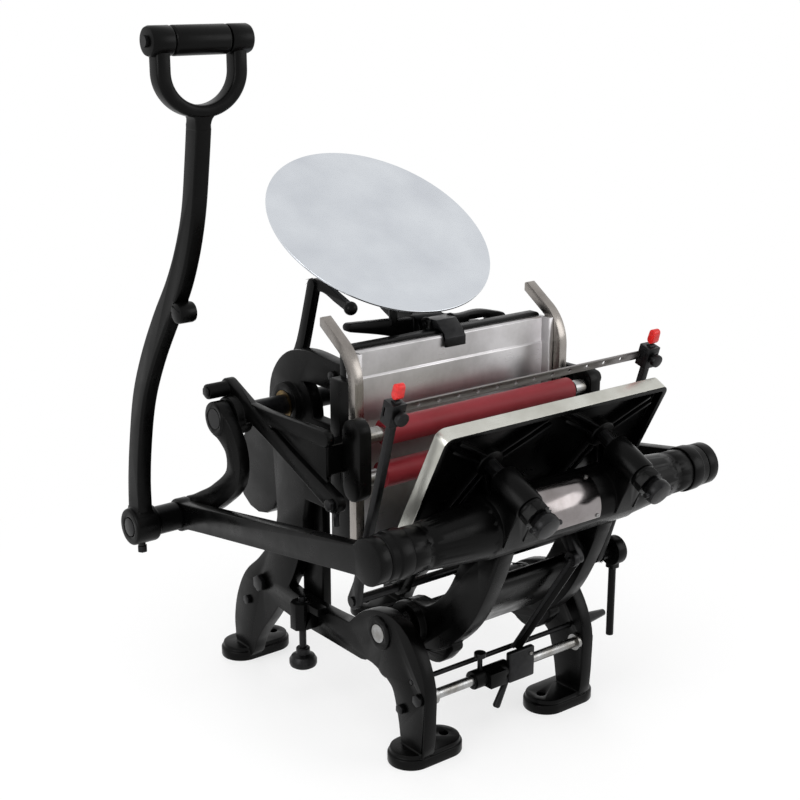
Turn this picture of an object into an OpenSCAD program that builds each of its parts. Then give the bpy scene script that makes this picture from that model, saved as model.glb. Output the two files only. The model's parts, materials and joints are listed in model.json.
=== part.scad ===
// Tabletop letterpress: a hand lever turns a crank, two side arms draw the platen up to the bed,
// and the roller arms carry two rollers from below the bed, up the rails and on to the ink disc.
// X runs to the right, Y away from the operator, Z up. The origin is the middle of the four bench
// bolt holes, at bench level. The press is drawn open, with the hand lever up.

/* [Side frames] */
// Distance between the inner faces of the side frames
frame_gap = 230; // [224:1:240]
// Thickness of each side frame
frame_t = 17; // [12:1:20]
// Distance from the front to the rear bench bolts
bolt_pitch_y = 356; // [340:1:370]
// Distance from the left to the right bench bolts
bolt_pitch_x = 156; // [140:1:164]
// Radius of a bench bolt hole
bolt_hole_r = 5.5; // [4:0.5:7]
// Length of a foot pad, across the press
pad_len = 96; // [84:1:104]
// Width of a foot pad
pad_w = 54; // [48:1:60]
// Thickness of a foot pad
pad_h = 18; // [12:1:22]

/* [Bed and rails] */
// Width of the machined bed
bed_w = 282; // [250:1:282]
// Height of the top edge of the bed
bed_top_z = 468; // [460:1:470]
// Height of the bottom edge of the bed
bed_bottom_z = 232; // [226:1:262]
// Distance from the origin forward to the face of the bed
bed_face = 98; // [96:1:99]
// Thickness of the machined bed plate
bed_plate_t = 10; // [8:1:12]
// Thickness of the bed casting behind the plate
bed_cast_t = 14; // [12:1:18]
// Height of type above the bed
type_high = 23.3; // [22.5:0.1:23.5]
// Width of a roller rail
rail_w = 12; // [8:1:14]
// Thickness of a roller rail
rail_t = 12; // [9:1:13]
// Radius of the bend at the top of a rail
rail_bend_r = 58; // [56:1:70]
// Length of the rail past its bend
rail_tip = 40; // [30:1:44]

/* [Ink disc] */
// Radius of the ink disc
disc_r = 143; // [120:1:144]
// Thickness of the ink disc
disc_t = 3; // [2:0.5:4]
// Slope of the ink disc
disc_tilt = 33.6; // [33:0.1:34]
// Height of the middle of the disc's face
disc_z = 571.6; // [571:0.2:574]
// Distance from the origin back to the middle of the disc's face
disc_y = 39.8; // [36:0.1:41]
// Number of ratchet teeth under the disc
ratchet_teeth = 36; // [24:1:48]

/* [Shafts] */
// Radius of the main shaft
main_shaft_r = 12; // [10:0.5:14]
// Radius of the rocker shaft
rocker_shaft_r = 11; // [9:0.5:13]
// Radius of a crank pin
crank_pin_r = 11; // [9:0.5:12]
// Running clearance on the radius of every shaft and pin
run = 0.05; // [0.03:0.01:0.09]
// Clearance between faces that pass one another
gap = 0.3; // [0.3:0.05:0.6]

/* [Rollers] */
// Radius of a roller's rubber
rubber_r = 14.5; // [13:0.1:14.6]
// Radius of a roller's steel core
core_r = 7; // [6:0.5:8]
// Radius of a truck that rides on a rail
truck_r = 9; // [8:0.1:9.2]
// Gap between a roller's rubber and each of its trucks
rubber_gap = 6; // [4:0.5:12]
// Distance from the main shaft to a roller's axis
roller_reach = 190; // [189.8:0.1:191]
// Angle between the two rollers, seen from the main shaft
roller_spread = 15; // [14:0.5:15.5]
// Travel of the sprung saddles
saddle_travel = 12; // [6:1:14]

/* [Platen] */
// Width of the platen
platen_w = 331; // [300:1:331]
// Height of the platen
platen_h = 207; // [190:1:210]
// Thickness of the platen's plate
platen_t = 9; // [7:0.5:10]
// Angle of the platen when it is open
platen_open = 27.2; // [26.8:0.1:27.6]
// Radius of the bridge barrel at its middle
barrel_r = 34; // [32:0.5:35]
// Radius of the barrel near its ends
barrel_end_r = 25; // [22:0.5:27]
// Distance of an impression screw from the middle
screw_x = 84; // [80:1:92]
// Height of an impression screw above the barrel's axis, with the platen shut
screw_rise = 57; // [54:1:62]
// Radius of an impression screw
screw_r = 8; // [7:0.5:9]

/* [Hand lever] */
// Thickness of the hand lever
lever_t = 18; // [14:1:22]
// Half the width of the hand lever at its middle
lever_half = 13; // [11:0.5:15]
// Height of the grip's axis
grip_z = 804; // [790:1:815]
// Length of the grip between the yoke's outer faces
grip_len = 116; // [110:1:126]
// Radius of the turning grip sleeve
grip_r = 15; // [13:0.5:16]

/* [Hidden] */

ENAMEL = "#1b1c1d";
STEEL = "#b9babb";
DARK = "#3a3b3d";
RUBBER = "#8e2730";
RED = "#d4302c";

// Layers across the press, from the middle outwards
frame_in = frame_gap / 2;
frame_out = frame_in + frame_t;
boss_out = frame_out + 10;
rail_in = bed_w / 2 + 7;
rail_out = rail_in + rail_w;
truck_in = rail_in - 2;
rubber_len = 2 * (truck_in - rubber_gap);
saddle_t = 16;
saddle_in = rail_out + 6;
saddle_out = saddle_in + saddle_t;
arm_t = 12;
arm_in = saddle_out + 16;
arm_out = arm_in + arm_t;
arm_hub_out = arm_out + 10;
crank_t = 14;
crank_in = arm_hub_out + 2;
crank_out = crank_in + crank_t;
crank_boss_out = crank_out + 2;
side_arm_t = 15.4;
side_arm_in = crank_out + 2.6;
side_arm_out = side_arm_in + side_arm_t;
lever_x = side_arm_out + 49;
lever_hub_half = 16;
barrel_half = side_arm_in - gap;

// Pivots, as distances back from the origin and heights
shaft = [45, 376];
crank_pin = [109.6, 243.6];
barrel = [-263, 302];
rocker = [-128.3, 141.8];
link_pivot = [-236, 258];
gripper = [-170, 214];
front_rod = [-199, 85];
upper_rod = [-184, 101];
pawl_pivot = [66, 410];
latch_pivot = [-70, 477];
bolt_y = bolt_pitch_y / 2;
pad_x = bolt_pitch_x / 2 + 28;

// Planes of the bed and the rails
bed_face_y = -bed_face;
bed_back_y = bed_face_y + bed_plate_t;
cast_back_y = bed_back_y + bed_cast_t;
rail_face_y = bed_face_y - type_high;
disc_along = [cos(disc_tilt), sin(disc_tilt)];
disc_up = [-sin(disc_tilt), cos(disc_tilt)];
bend_turn = 90 - disc_tilt;
bend_top_z = disc_z + (rail_face_y - disc_y) * tan(disc_tilt);
bend_y = rail_face_y + rail_bend_r;
bend_z = bend_top_z - rail_bend_r * tan(bend_turn / 2);

// Roller angles about the main shaft, from straight back towards straight up
roller_mid = 184.2;
upper_angle = roller_mid - roller_spread / 2;
lower_angle = roller_mid + roller_spread / 2;
function roller_at(a) = shaft + roller_reach * [cos(a), sin(a)];
upper_at = roller_at(upper_angle);
lower_at = roller_at(lower_angle);

// Platen, in its closed place against the type
platen_bottom_z = 250;
platen_top_z = platen_bottom_z + platen_h;
platen_back_y = rail_face_y - platen_t;
tray_depth = 9;
function turn(p, c, a) = c + [
    (p[0] - c[0]) * cos(a) - (p[1] - c[1]) * sin(a), (p[0] - c[0]) * sin(a) + (p[1] - c[1]) * cos(a)
];
barrel_shut = turn(barrel, rocker, -platen_open);

// Smooth curve through points, and the outline of a bar that follows one with a changing half width
function on_span(a, b, c, d, t) =
    (2 * b + (c - a) * t + (2 * a - 5 * b + 4 * c - d) * t * t + (3 * b - a - 3 * c + d) * t * t * t) / 2;
function smooth(p, n) = [
    for (i = [0:len(p) - 2]) for (k = [0:n - 1])
        on_span(p[max(i - 1, 0)], p[i], p[i + 1], p[min(i + 2, len(p) - 1)], k / n),
    p[len(p) - 1]
];
function unit(v) = v / norm(v);
function heading(q, i) =
    let (a = q[max(i - 1, 0)], b = q[min(i + 1, len(q) - 1)]) unit([b[0] - a[0], b[1] - a[1]]);
function edge_point(q, i, s) =
    let (d = heading(q, i)) [q[i][0] - s * d[1] * q[i][2], q[i][1] + s * d[0] * q[i][2]];
function cap(c, d, n) = [
    for (k = [1:n - 1]) let (a = 180 * k / n)
        [c[0] + c[2] * (-d[1] * cos(a) + d[0] * sin(a)), c[1] + c[2] * (d[0] * cos(a) + d[1] * sin(a))]
];
function bar_outline(p, n) = let (q = smooth(p, n), m = len(q)) concat(
    [for (i = [0:m - 1]) edge_point(q, i, 1)],
    cap(q[m - 1], heading(q, m - 1), 8),
    [for (i = [m - 1:-1:0]) edge_point(q, i, -1)],
    cap(q[0], -heading(q, 0), 8)
);
module bar(p, n = 5) {
    polygon(bar_outline(p, n));
}
function arc(c, r, a0, a1, n = 8) = [for (k = [0:n]) let (a = a0 + (a1 - a0) * k / n) c + r * [cos(a), sin(a)]];
function round_box(w, h, r) = concat(
    arc([w / 2 - r, h / 2 - r], r, 0, 90), arc([r - w / 2, h / 2 - r], r, 90, 180),
    arc([r - w / 2, r - h / 2], r, 180, 270), arc([w / 2 - r, r - h / 2], r, 270, 360)
);

// A profile of (back, up) standing across the press from x0 to x1
module across(x0, x1) {
    translate([x0, 0, 0]) rotate([90, 0, 90]) linear_extrude(x1 - x0) children();
}
// A profile of (right, up) standing from y0 back to y1
module facing(y0, y1) {
    translate([0, y1, 0]) rotate([90, 0, 0]) linear_extrude(y1 - y0) children();
}
// A round rod across the press, on the point p of (back, up)
module rod_x(r, x0, x1, p) {
    translate([x0, p[0], p[1]]) rotate([0, 90, 0]) cylinder(r = r, h = x1 - x0, $fn = 48);
}
// Children drawn on the right, put on the side s: 1 right, -1 left
module side(s) {
    if (s > 0) children();
    else mirror([1, 0, 0]) children();
}
// Children drawn with the platen shut, swung open about the rocker shaft
module swung_open() {
    translate([0, rocker[0], rocker[1]]) rotate([platen_open, 0, 0])
        translate([0, -rocker[0], -rocker[1]]) children();
}
// Children drawn on the disc's own axis, with its face at zero
module on_disc() {
    translate([0, disc_y, disc_z]) rotate([disc_tilt, 0, 0]) children();
}
// Children drawn up from the origin, laid along the line from p to q
module along(p, q) {
    v = q - p;
    translate(p) rotate([0, acos(v[2] / norm(v)), atan2(v[1], v[0])]) children();
}
module hexagon(across_flats, h) {
    cylinder(r = across_flats / 2 / cos(30), h = h, $fn = 6);
}

// Side frames: one casting each, drawn as bars that swell and taper
front_leg = [[-76, 116, 20], [-112, 129, 34], [-148, 127, 40], [-176, 98, 33], [-184, 58, 26],
    [-bolt_y - 8, 26, 22]];
rear_leg = [[52, 240, 28], [54, 212, 28], [70, 172, 29], [100, 132, 33], [128, 102, 37],
    [147, 74, 34], [158, 48, 29], [bolt_y - 16, 28, 24]];
lower_beam = [[-90, 114, 20], [-20, 113, 18], [40, 114, 18], [96, 122, 20]];
column = [[52, 236, 28], [50, 300, 40], [shaft[0], shaft[1] - 6, 46]];
hump = [[72, 366, 20], [66, 396, 20], [44, 420, 19], [8, 428, 19], [-32, 427, 18],
    [cast_back_y + 18.2, 425, 18]];
belly = [[70, 350, 30], [104, 305, 42], [122, 264, 48]];
module side_profile() {
    bar(front_leg);
    bar(rear_leg);
    bar(lower_beam);
    bar(column);
    bar(hump);
    bar(belly);
    translate([-136, 104]) circle(r = 16, $fn = 48);
    translate([cast_back_y, 262]) square([shaft[0] - cast_back_y, 106]);
    translate([cast_back_y, 400]) square([30, 44]);
}
module pad_shape() {
    square([pad_len - pad_w, pad_w], center = true);
    for (s = [-1, 1]) translate([s * (pad_len - pad_w) / 2, 0]) circle(r = pad_w / 2, $fn = 64);
}
module side_frame(s) {
    side(s) color(ENAMEL) difference() {
        union() {
            across(frame_in, frame_out) side_profile();
            rod_x(26, frame_in - 6, boss_out, shaft);
            rod_x(20, frame_in - 8, frame_out + 4, rocker);
            for (y = [-bolt_y, bolt_y]) translate([pad_x, y, 0]) {
                linear_extrude(pad_h * 0.7) pad_shape();
                linear_extrude(pad_h) scale(0.94) pad_shape();
            }
        }
        rod_x(main_shaft_r + 5, frame_in - 10, boss_out + 4, shaft);
        rod_x(rocker_shaft_r, frame_in - 10, frame_out + 6, rocker);
        rod_x(front_rod_r, frame_in - 10, frame_out + 6, front_rod);
        rod_x(upper_rod_r + run, frame_in - 10, frame_out + 6, upper_rod);
        rod_x(tie_r, frame_in - 10, frame_out + 6, tie_at);
        for (y = [-bolt_y, bolt_y]) translate([bolt_pitch_x / 2, y, -1])
            cylinder(r = bolt_hole_r, h = pad_h + 2, $fn = 32);
    }
}

// Bed, rails and what ties the frames
module bed_casting() {
    half = bed_w / 2 + 5;
    color(ENAMEL) difference() {
        union() {
            facing(bed_back_y, cast_back_y) translate([0, (bed_bottom_z + bed_top_z) / 2])
                polygon(round_box(2 * half, bed_top_z - bed_bottom_z + 8, 6));
            for (z = [bed_bottom_z + 24, (bed_bottom_z + bed_top_z) / 2, bed_top_z - 60])
                translate([-frame_in + 1, cast_back_y - 1, z]) cube([2 * frame_in - 2, 19, 10]);
            for (s = [-1, 1]) side(s) {
                translate([bed_w / 2 + 1, rail_face_y + rail_t, bed_bottom_z + 4])
                    cube([rail_out - bed_w / 2 - 1, cast_back_y - rail_face_y - rail_t, bend_z - bed_bottom_z]);
                across(latch_w / 2 + gap, latch_w / 2 + 6) polygon(concat(
                    [[cast_back_y - 6, bed_top_z - 20], [cast_back_y + 10, bed_top_z - 6]],
                    arc(latch_pivot, 8, 0, 180)
                ));
            }
        }
        rod_x(latch_pin_r, -latch_w, latch_w, latch_pivot);
        for (s = [-1, 1], z = [bed_bottom_z + 30, bed_top_z - 44]) translate([s * 60, bed_back_y - 1, z])
            rotate([-90, 0, 0]) cylinder(r = 4, h = bed_cast_t + 30, $fn = 24);
    }
}
module bed_plate() {
    step = 1.6;
    color(STEEL) across(-bed_w / 2, bed_w / 2) polygon([
        [bed_face_y, bed_bottom_z], [bed_face_y, bed_top_z - 32], [bed_face_y + step, bed_top_z - 30],
        [bed_face_y + step, bed_top_z - 2], [bed_face_y + step + 2, bed_top_z],
        [bed_back_y, bed_top_z], [bed_back_y, bed_bottom_z]
    ]);
}
module rail(s) {
    c = [bend_y, bend_z];
    outer = arc(c, rail_bend_r, 180, 180 - bend_turn, 12);
    inner = arc(c, rail_bend_r - rail_t, 180 - bend_turn, 180, 12);
    tip = outer[12] + rail_tip * disc_along;
    color(STEEL) side(s) across(rail_in, rail_out) polygon(concat(
        [[rail_face_y, bed_bottom_z]], outer, [tip, tip - 4 * disc_up + 3 * disc_along],
        [inner[0] + (rail_tip - 2) * disc_along], inner, [[rail_face_y + rail_t, bed_bottom_z]]
    ));
}
latch_w = 30;
latch_pin_r = 2.5;
module chase_latch() {
    nose_y = bed_face_y - 4;
    color(DARK) difference() {
        across(-latch_w / 2, latch_w / 2) polygon([
            [nose_y, bed_top_z - 14], [nose_y, bed_top_z - 3], [nose_y + 8, bed_top_z + 7],
            [nose_y + 18, bed_top_z + 15], [latch_pivot[0] + 6, bed_top_z + 15],
            [latch_pivot[0] + 6, bed_top_z + 5], [bed_back_y, bed_top_z + 4.6],
            [bed_face_y - gap, bed_top_z + 0.6], [bed_face_y - gap, bed_top_z - 14]
        ]);
        rod_x(latch_pin_r + run, -latch_w, latch_w, latch_pivot);
    }
}
tie_r = 8;
tie_at = [118, 122];
front_rod_r = 6;
upper_rod_r = 3;
module rear_tie_bar() {
    color(ENAMEL) {
        rod_x(tie_r, -frame_out, frame_out, tie_at);
        for (s = [-1, 1]) side(s) rod_x(tie_r + 5, frame_in - 6, frame_in, tie_at);
    }
}
module front_tie_rod() {
    color(STEEL) {
        rod_x(front_rod_r, -frame_out, frame_out, front_rod);
        for (s = [-1, 1]) side(s) rod_x(front_rod_r + 4, frame_in - 5, frame_in, front_rod);
    }
}
// Thin rod above the front tie rod, with a tapered handle outside the right frame
module upper_front_rod() {
    color(DARK) {
        rod_x(upper_rod_r, -frame_out, frame_out + 4, upper_rod);
        translate([frame_out + 0.4, upper_rod[0], upper_rod[1]]) rotate([0, 90, 0])
            cylinder(r1 = 9, r2 = 4, h = 44, $fn = 40);
    }
}
module rocker_shaft() {
    color(STEEL) rod_x(rocker_shaft_r, -frame_out - 4.5, frame_out + 4.5, rocker);
}
module frame_bolts() {
    pivot_pins();
    color(DARK) for (s = [-1, 1]) side(s) {
        for (p = [[-168, 62], [150, 88], [-44, 428]]) translate([frame_out, p[0], p[1]]) rotate([0, 90, 0]) {
            hexagon(11, 5);
        }
        translate([0, tie_at[0], tie_at[1]]) rotate([0, 90, 0]) translate([0, 0, frame_out]) hexagon(19, 7);
        translate([0, front_rod[0], front_rod[1]]) rotate([0, 90, 0])
            translate([0, 0, frame_out]) hexagon(13, 5);
    }
}
module pivot_pins() {
    color(STEEL) {
        rod_x(latch_pin_r, -latch_w / 2 - 6, latch_w / 2 + 6, latch_pivot);
        side(-1) {
            rod_x(pawl_pin_r, pawl_in - 3, frame_in, pawl_pivot);
            rod_x(pawl_pin_r + 4, pawl_in - 6, pawl_in - gap, pawl_pivot);
        }
    }
}
module main_shaft_bushes() {
    color("#a08a55") for (s = [-1, 1]) side(s) difference() {
        rod_x(main_shaft_r + 5, frame_in - 6, boss_out, shaft);
        rod_x(main_shaft_r + run, frame_in - 7, boss_out + 1, shaft);
    }
}

// Disc bracket: a hub behind the bed, a back arm to the spindle boss, a finger and a looped arm
spindle_r = 8;
disc_hub_depth = 24;
boss_top = disc_hub_depth + gap;
boss_len = 34;
module disc_bracket() {
    hub_at = [-46, 466];
    boss_at = [disc_y, disc_z] - (boss_top + boss_len / 2) * disc_up;
    finger = [[-14, 466, 15], [-62, 475, 9], [-112, 482, 5]];
    loop_out = [[14, 466, 15], [50, 462, 13], [84, 462, 14], [116, 461, 8]];
    loop_in = [[66, 462.5, 4], [92, 462, 4]];
    color(ENAMEL) difference() {
        union() {
            across(-14, 14) bar([[hub_at[0], hub_at[1], 15], [-4, 480, 13], [30, 498, 12],
                [boss_at[0], boss_at[1], 12]]);
            rod_x(17, -22, 22, hub_at);
            facing(hub_at[0] - 6, hub_at[0] + 6) bar(finger);
            facing(hub_at[0] - 6, hub_at[0] + 6) bar(loop_out);
            translate([-14, cast_back_y, bed_top_z - 36]) cube([28, hub_at[0] - cast_back_y + 6, 24]);
            on_disc() translate([0, 0, -boss_top - boss_len]) cylinder(r = 17, h = boss_len, $fn = 48);
            translate([-52, hub_at[0] - 5, 476]) cylinder(r = 5, h = 22, $fn = 32);
        }
        facing(hub_at[0] - 8, hub_at[0] + 8) bar(loop_in);
        on_disc() translate([0, 0, -boss_top - boss_len - 1]) cylinder(r = spindle_r, h = boss_len + 2, $fn = 48);
    }
}
module disc_spindle() {
    color(STEEL) on_disc() translate([0, 0, -boss_top - boss_len]) cylinder(r = spindle_r, h = boss_len
        + boss_top - disc_t - 4, $fn = 48);
}
module ink_disc() {
    edge = 0.6;
    color(STEEL) on_disc() rotate_extrude($fn = 180) polygon([
        [0, -disc_t], [disc_r - edge, -disc_t], [disc_r, edge - disc_t], [disc_r, -edge],
        [disc_r - edge, 0], [0, 0]
    ]);
}
module disc_ratchet() {
    tip_r = 42;
    root_r = 38;
    color(DARK) on_disc() difference() {
        union() {
            translate([0, 0, -disc_hub_depth]) cylinder(r = 22, h = disc_hub_depth - disc_t, $fn = 64);
            translate([0, 0, -disc_t - 9]) linear_extrude(5) polygon([
                for (i = [0:ratchet_teeth - 1]) for (e = [0, 1])
                    let (a = 360 * (i + e * 0.12) / ratchet_teeth) (e == 0 ? root_r : tip_r) * [cos(a), sin(a)]
            ]);
        }
        translate([0, 0, -disc_hub_depth - 1]) cylinder(r = spindle_r + run, h = disc_hub_depth - disc_t - 2, $fn = 48);
    }
}
pawl_in = frame_in - 11;
pawl_pin_r = 5;
module pawl_arm() {
    ball = [-44, 503];
    color(ENAMEL) side(-1) difference() {
        union() {
            across(pawl_in, frame_in - gap) bar([[pawl_pivot[0], pawl_pivot[1], 12], [48, 446, 7.5], [24, 520, 7]]);
            across(pawl_in, pawl_in + 7) bar([[24, 520, 7], [2, 519, 6], [-20, 511, 5.5], [ball[0], ball[1], 5]]);
            translate([pawl_in + 3.5, ball[0], ball[1]]) sphere(r = 8, $fn = 40);
        }
        rod_x(pawl_pin_r + run, pawl_in - 1, frame_in + 1, pawl_pivot);
    }
}

// Post and star-knob stop screw at the left frame
stop_x = frame_out + 14;
stop_y = 8;
stop_screw_r = 4;
module stop_post() {
    color(ENAMEL) side(-1) translate([frame_in - 13, stop_y, 112]) cube([13, 42, 150]);
}
module stop_block() {
    color(ENAMEL) side(-1) difference() {
        union() {
            translate([frame_out, stop_y - 14, 104]) linear_extrude(34) polygon([
                [0, 2], [0, 26], [20, 26], [28, 20], [28, 8], [20, 2]
            ]);
            translate([frame_out, stop_y - 32, 128]) cube([14, 22, 9]);
        }
        translate([stop_x, stop_y, 100]) cylinder(r = stop_screw_r + run, h = 50, $fn = 32);
    }
}
module stop_screw() {
    color(DARK) side(-1) translate([stop_x, stop_y, 0]) {
        translate([0, 0, 48]) cylinder(r = stop_screw_r, h = 96, $fn = 32);
        translate([0, 0, 49]) cylinder(r = 8, h = 12, $fn = 40);
        translate([0, 0, 34]) linear_extrude(15) difference() {
            circle(r = 17, $fn = 60);
            for (i = [0:5]) rotate(60 * i) translate([20.5, 0]) circle(r = 6.5, $fn = 30);
        }
    }
}

// Crank: shaft, arms, pins, lever
module main_shaft() {
    color(STEEL) rod_x(main_shaft_r, -crank_boss_out, crank_boss_out, shaft);
}
module crank(s) {
    arm = [[shaft[0], shaft[1], 19], [14, 348, 15], [14, 312, 14], [50, 281, 14],
        [82, 262, 15], [crank_pin[0], crank_pin[1], 19]];
    color(ENAMEL) side(s) difference() {
        union() {
            across(crank_in, crank_out) bar(arm);
            rod_x(20, crank_in, crank_boss_out, shaft);
            rod_x(20, crank_in, crank_out, crank_pin);
        }
        rod_x(main_shaft_r, crank_in - 1, crank_out + 11, shaft);
        rod_x(crank_pin_r, crank_in - 1, crank_out + 11, crank_pin);
    }
}
lever_out = lever_x + lever_hub_half;
module crank_pins() {
    color(STEEL) {
        rod_x(crank_pin_r, -lever_out, -crank_in, crank_pin);
        rod_x(crank_pin_r, crank_in, side_arm_out + 8, crank_pin);
        rod_x(crank_pin_r + 5, side_arm_out + gap, side_arm_out + 8, crank_pin);
    }
}
yoke_bottom_z = grip_z - 77;
yoke_y = -60;
yoke_t = 20;
lever_line = [
    [crank_pin[0], crank_pin[1], 15], [108, 300, lever_half], [98, 360, lever_half - 0.5],
    [84, 410, lever_half], [60, 458, lever_half + 0.5], [30, 504, lever_half + 1],
    [0, 545, lever_half + 1], [-22, 586, lever_half], [-38, 630, lever_half - 1],
    [-48, 680, lever_half - 1], [yoke_y + 3, yoke_bottom_z + 8, lever_half - 1]
];
module yoke_shape() {
    half = grip_len / 2;
    hole = half - 26;
    difference() {
        polygon(concat(
            arc([half - 12, grip_z], 12, 0, 90), arc([12 - half, grip_z], 12, 90, 180),
            arc([44 - half, grip_z - 28], 44, 180, 250), arc([half - 44, grip_z - 28], 44, 290, 360)
        ));
        polygon(concat(
            arc([hole - 4, grip_z + 8], 4, 0, 90), arc([4 - hole, grip_z + 8], 4, 90, 180),
            arc([12 - hole, grip_z - 37], 12, 180, 270), arc([hole - 12, grip_z - 37], 12, 270, 360)
        ));
    }
}
module hand_lever() {
    color(ENAMEL) side(-1) difference() {
        union() {
            across(lever_x - lever_t / 2, lever_x + lever_t / 2) bar(lever_line);
            rod_x(22, lever_x - lever_hub_half, lever_out, crank_pin);
            rod_x(17, side_arm_out + gap, lever_x - lever_hub_half, crank_pin);
            facing(yoke_y - yoke_t / 2, yoke_y + yoke_t / 2) translate([lever_x, 0]) yoke_shape();
            for (e = [-1, 1]) translate([lever_x + e * (grip_len / 2 - 13), yoke_y, grip_z]) rotate([0, 90, 0])
                cylinder(r = 15, h = 26, center = true, $fn = 48);
            translate([lever_x - 5, -6, 520]) rotate([-20, 90, 0]) cylinder(r = 9, h = 14, $fn = 32);
        }
        rod_x(crank_pin_r, side_arm_out, lever_out + 1, crank_pin);
        translate([lever_x, yoke_y, grip_z]) rotate([0, 90, 0])
            cylinder(r = grip_rod_r, h = grip_len + 20, center = true, $fn = 40);
        translate([lever_x, yoke_y, grip_z]) rotate([0, 90, 0])
            cylinder(r = grip_r + 2, h = grip_len - 52, center = true, $fn = 48);
        translate([lever_x, crank_pin[0], crank_pin[1] - 26]) cylinder(r = 4, h = 16, $fn = 30);
    }
}
grip_rod_r = 6;
module grip_rod() {
    color(STEEL) side(-1) translate([lever_x, yoke_y, grip_z]) rotate([0, 90, 0]) {
        cylinder(r = grip_rod_r, h = grip_len + 8, center = true, $fn = 40);
    }
}
module grip_sleeve() {
    len = grip_len - 52 - 2 * gap;
    color(ENAMEL) side(-1) translate([lever_x, yoke_y, grip_z]) rotate([0, 90, 0]) difference() {
        translate([0, 0, -len / 2]) rotate_extrude($fn = 64) polygon([
            [0, 0], [grip_r - 2, 0], [grip_r, 2], [grip_r, len - 2], [grip_r - 2, len], [0, len]
        ]);
        cylinder(r = grip_rod_r + run, h = len + 2, center = true, $fn = 40);
    }
}
module lever_screws() {
    color(DARK) side(-1) {
        translate([lever_x, crank_pin[0], crank_pin[1] - 30]) cylinder(r = 4, h = 30 - crank_pin_r, $fn = 30);
        translate([lever_x, crank_pin[0], crank_pin[1] - 34]) cylinder(r = 6, h = 8, $fn = 6);
    }
}

// Side arms, from the crank pins to the barrel's ends
module side_arm(s) {
    color(ENAMEL) side(s) difference() {
        union() {
            across(side_arm_in, side_arm_out) bar([
                [crank_pin[0], crank_pin[1], 17], [60, 251.4, 15.5], [-200, 292, 16], [barrel[0], barrel[1], 17]
            ]);
            rod_x(20, side_arm_in, side_arm_out, crank_pin);
            rod_x(barrel_end_r, side_arm_in, side_arm_out, barrel);
        }
        rod_x(crank_pin_r + run, side_arm_in - 1, side_arm_out + 1, crank_pin);
    }
}

// Platen: plate and ribbed tray, drawn shut and swung open
module platen() {
    mid_z = platen_bottom_z + platen_h / 2;
    rim = 8;
    shaft_shut = turn(gripper, rocker, -platen_open);
    color(ENAMEL) swung_open() difference() {
        union() {
            for (s = [-1, 1]) side(s) across(lug_x - 7, lug_x + 7)
                bar([[shaft_shut[0], shaft_shut[1], 8.5], [platen_back_y - 2, platen_bottom_z + 8, 8]], 1);
            facing(platen_back_y, rail_face_y) translate([0, mid_z]) polygon(round_box(platen_w, platen_h, 12));
            facing(platen_back_y - tray_depth, platen_back_y) {
                difference() {
                    translate([0, mid_z]) polygon(round_box(platen_w - 4, platen_h - 4, 10));
                    translate([0, mid_z]) polygon(round_box(platen_w - 4 - 2 * rim, platen_h - 4 - 2 * rim, 8));
                }
                for (s = [-1, 1]) {
                    bar([[s * screw_x, screw_z, 4], [s * (platen_w / 2 - 8), platen_top_z - 8, 4]], 1);
                    bar([[s * screw_x, screw_z, 4], [s * (platen_w / 2 - 8), platen_bottom_z + 8, 4]], 1);
                    bar([[s * screw_x, screw_z, 4], [0, platen_top_z - 6, 4]], 1);
                    bar([[s * screw_x, screw_z, 4], [0, platen_bottom_z + 6, 4]], 1);
                }
            }
            for (s = [-1, 1]) translate([s * screw_x, platen_back_y, screw_z]) rotate([90, 0, 0])
                cylinder(r = 17, h = tray_depth, $fn = 48);
        }
        for (s = [-1, 1]) translate([s * screw_x, platen_back_y + 4, screw_z]) rotate([90, 0, 0])
            cylinder(r = screw_r + run, h = tray_depth + 6, $fn = 40);
        rod_x(gripper_shaft_r + run, -lug_x - 8, lug_x + 8, shaft_shut);
    }
}
rocker_in = 64;
rocker_out = 86;
module rocker() {
    arm = [[rocker[0], rocker[1], 28], [-166, 148, 26], [-208, 184, 25], [-238, 238, 25], [barrel[0] + 4, barrel[1] - 12, 24]];
    color(ENAMEL) difference() {
        union() {
            for (s = [-1, 1]) side(s) {
                across(rocker_in, rocker_out) bar(arm, 6);
                rod_x(28, rocker_out, 96, rocker);
                across(rocker_in + 4, rocker_out - 2)
                    bar([[rocker[0], rocker[1], 18], [-150, 119, 13], [-172, 117, 10], [-192, 134, 8]]);
            }
            across(-rocker_in, rocker_in) bar([[-166, 148, 12], [-208, 184, 12], [-226, 210, 10]]);
            rod_x(19, -rocker_in, rocker_in, rocker);
        }
        rod_x(rocker_shaft_r + run, -98, 98, rocker);
        rod_x(barrel_r + 0.1, -98, 98, barrel);
        rod_x(link_shaft_r + run, -98, 98, link_pivot);
    }
}
screw_z = barrel_shut[1] + screw_rise;
lug_back = barrel_shut[0] - 34;
lug_front = barrel_shut[0] + 14;
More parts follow.
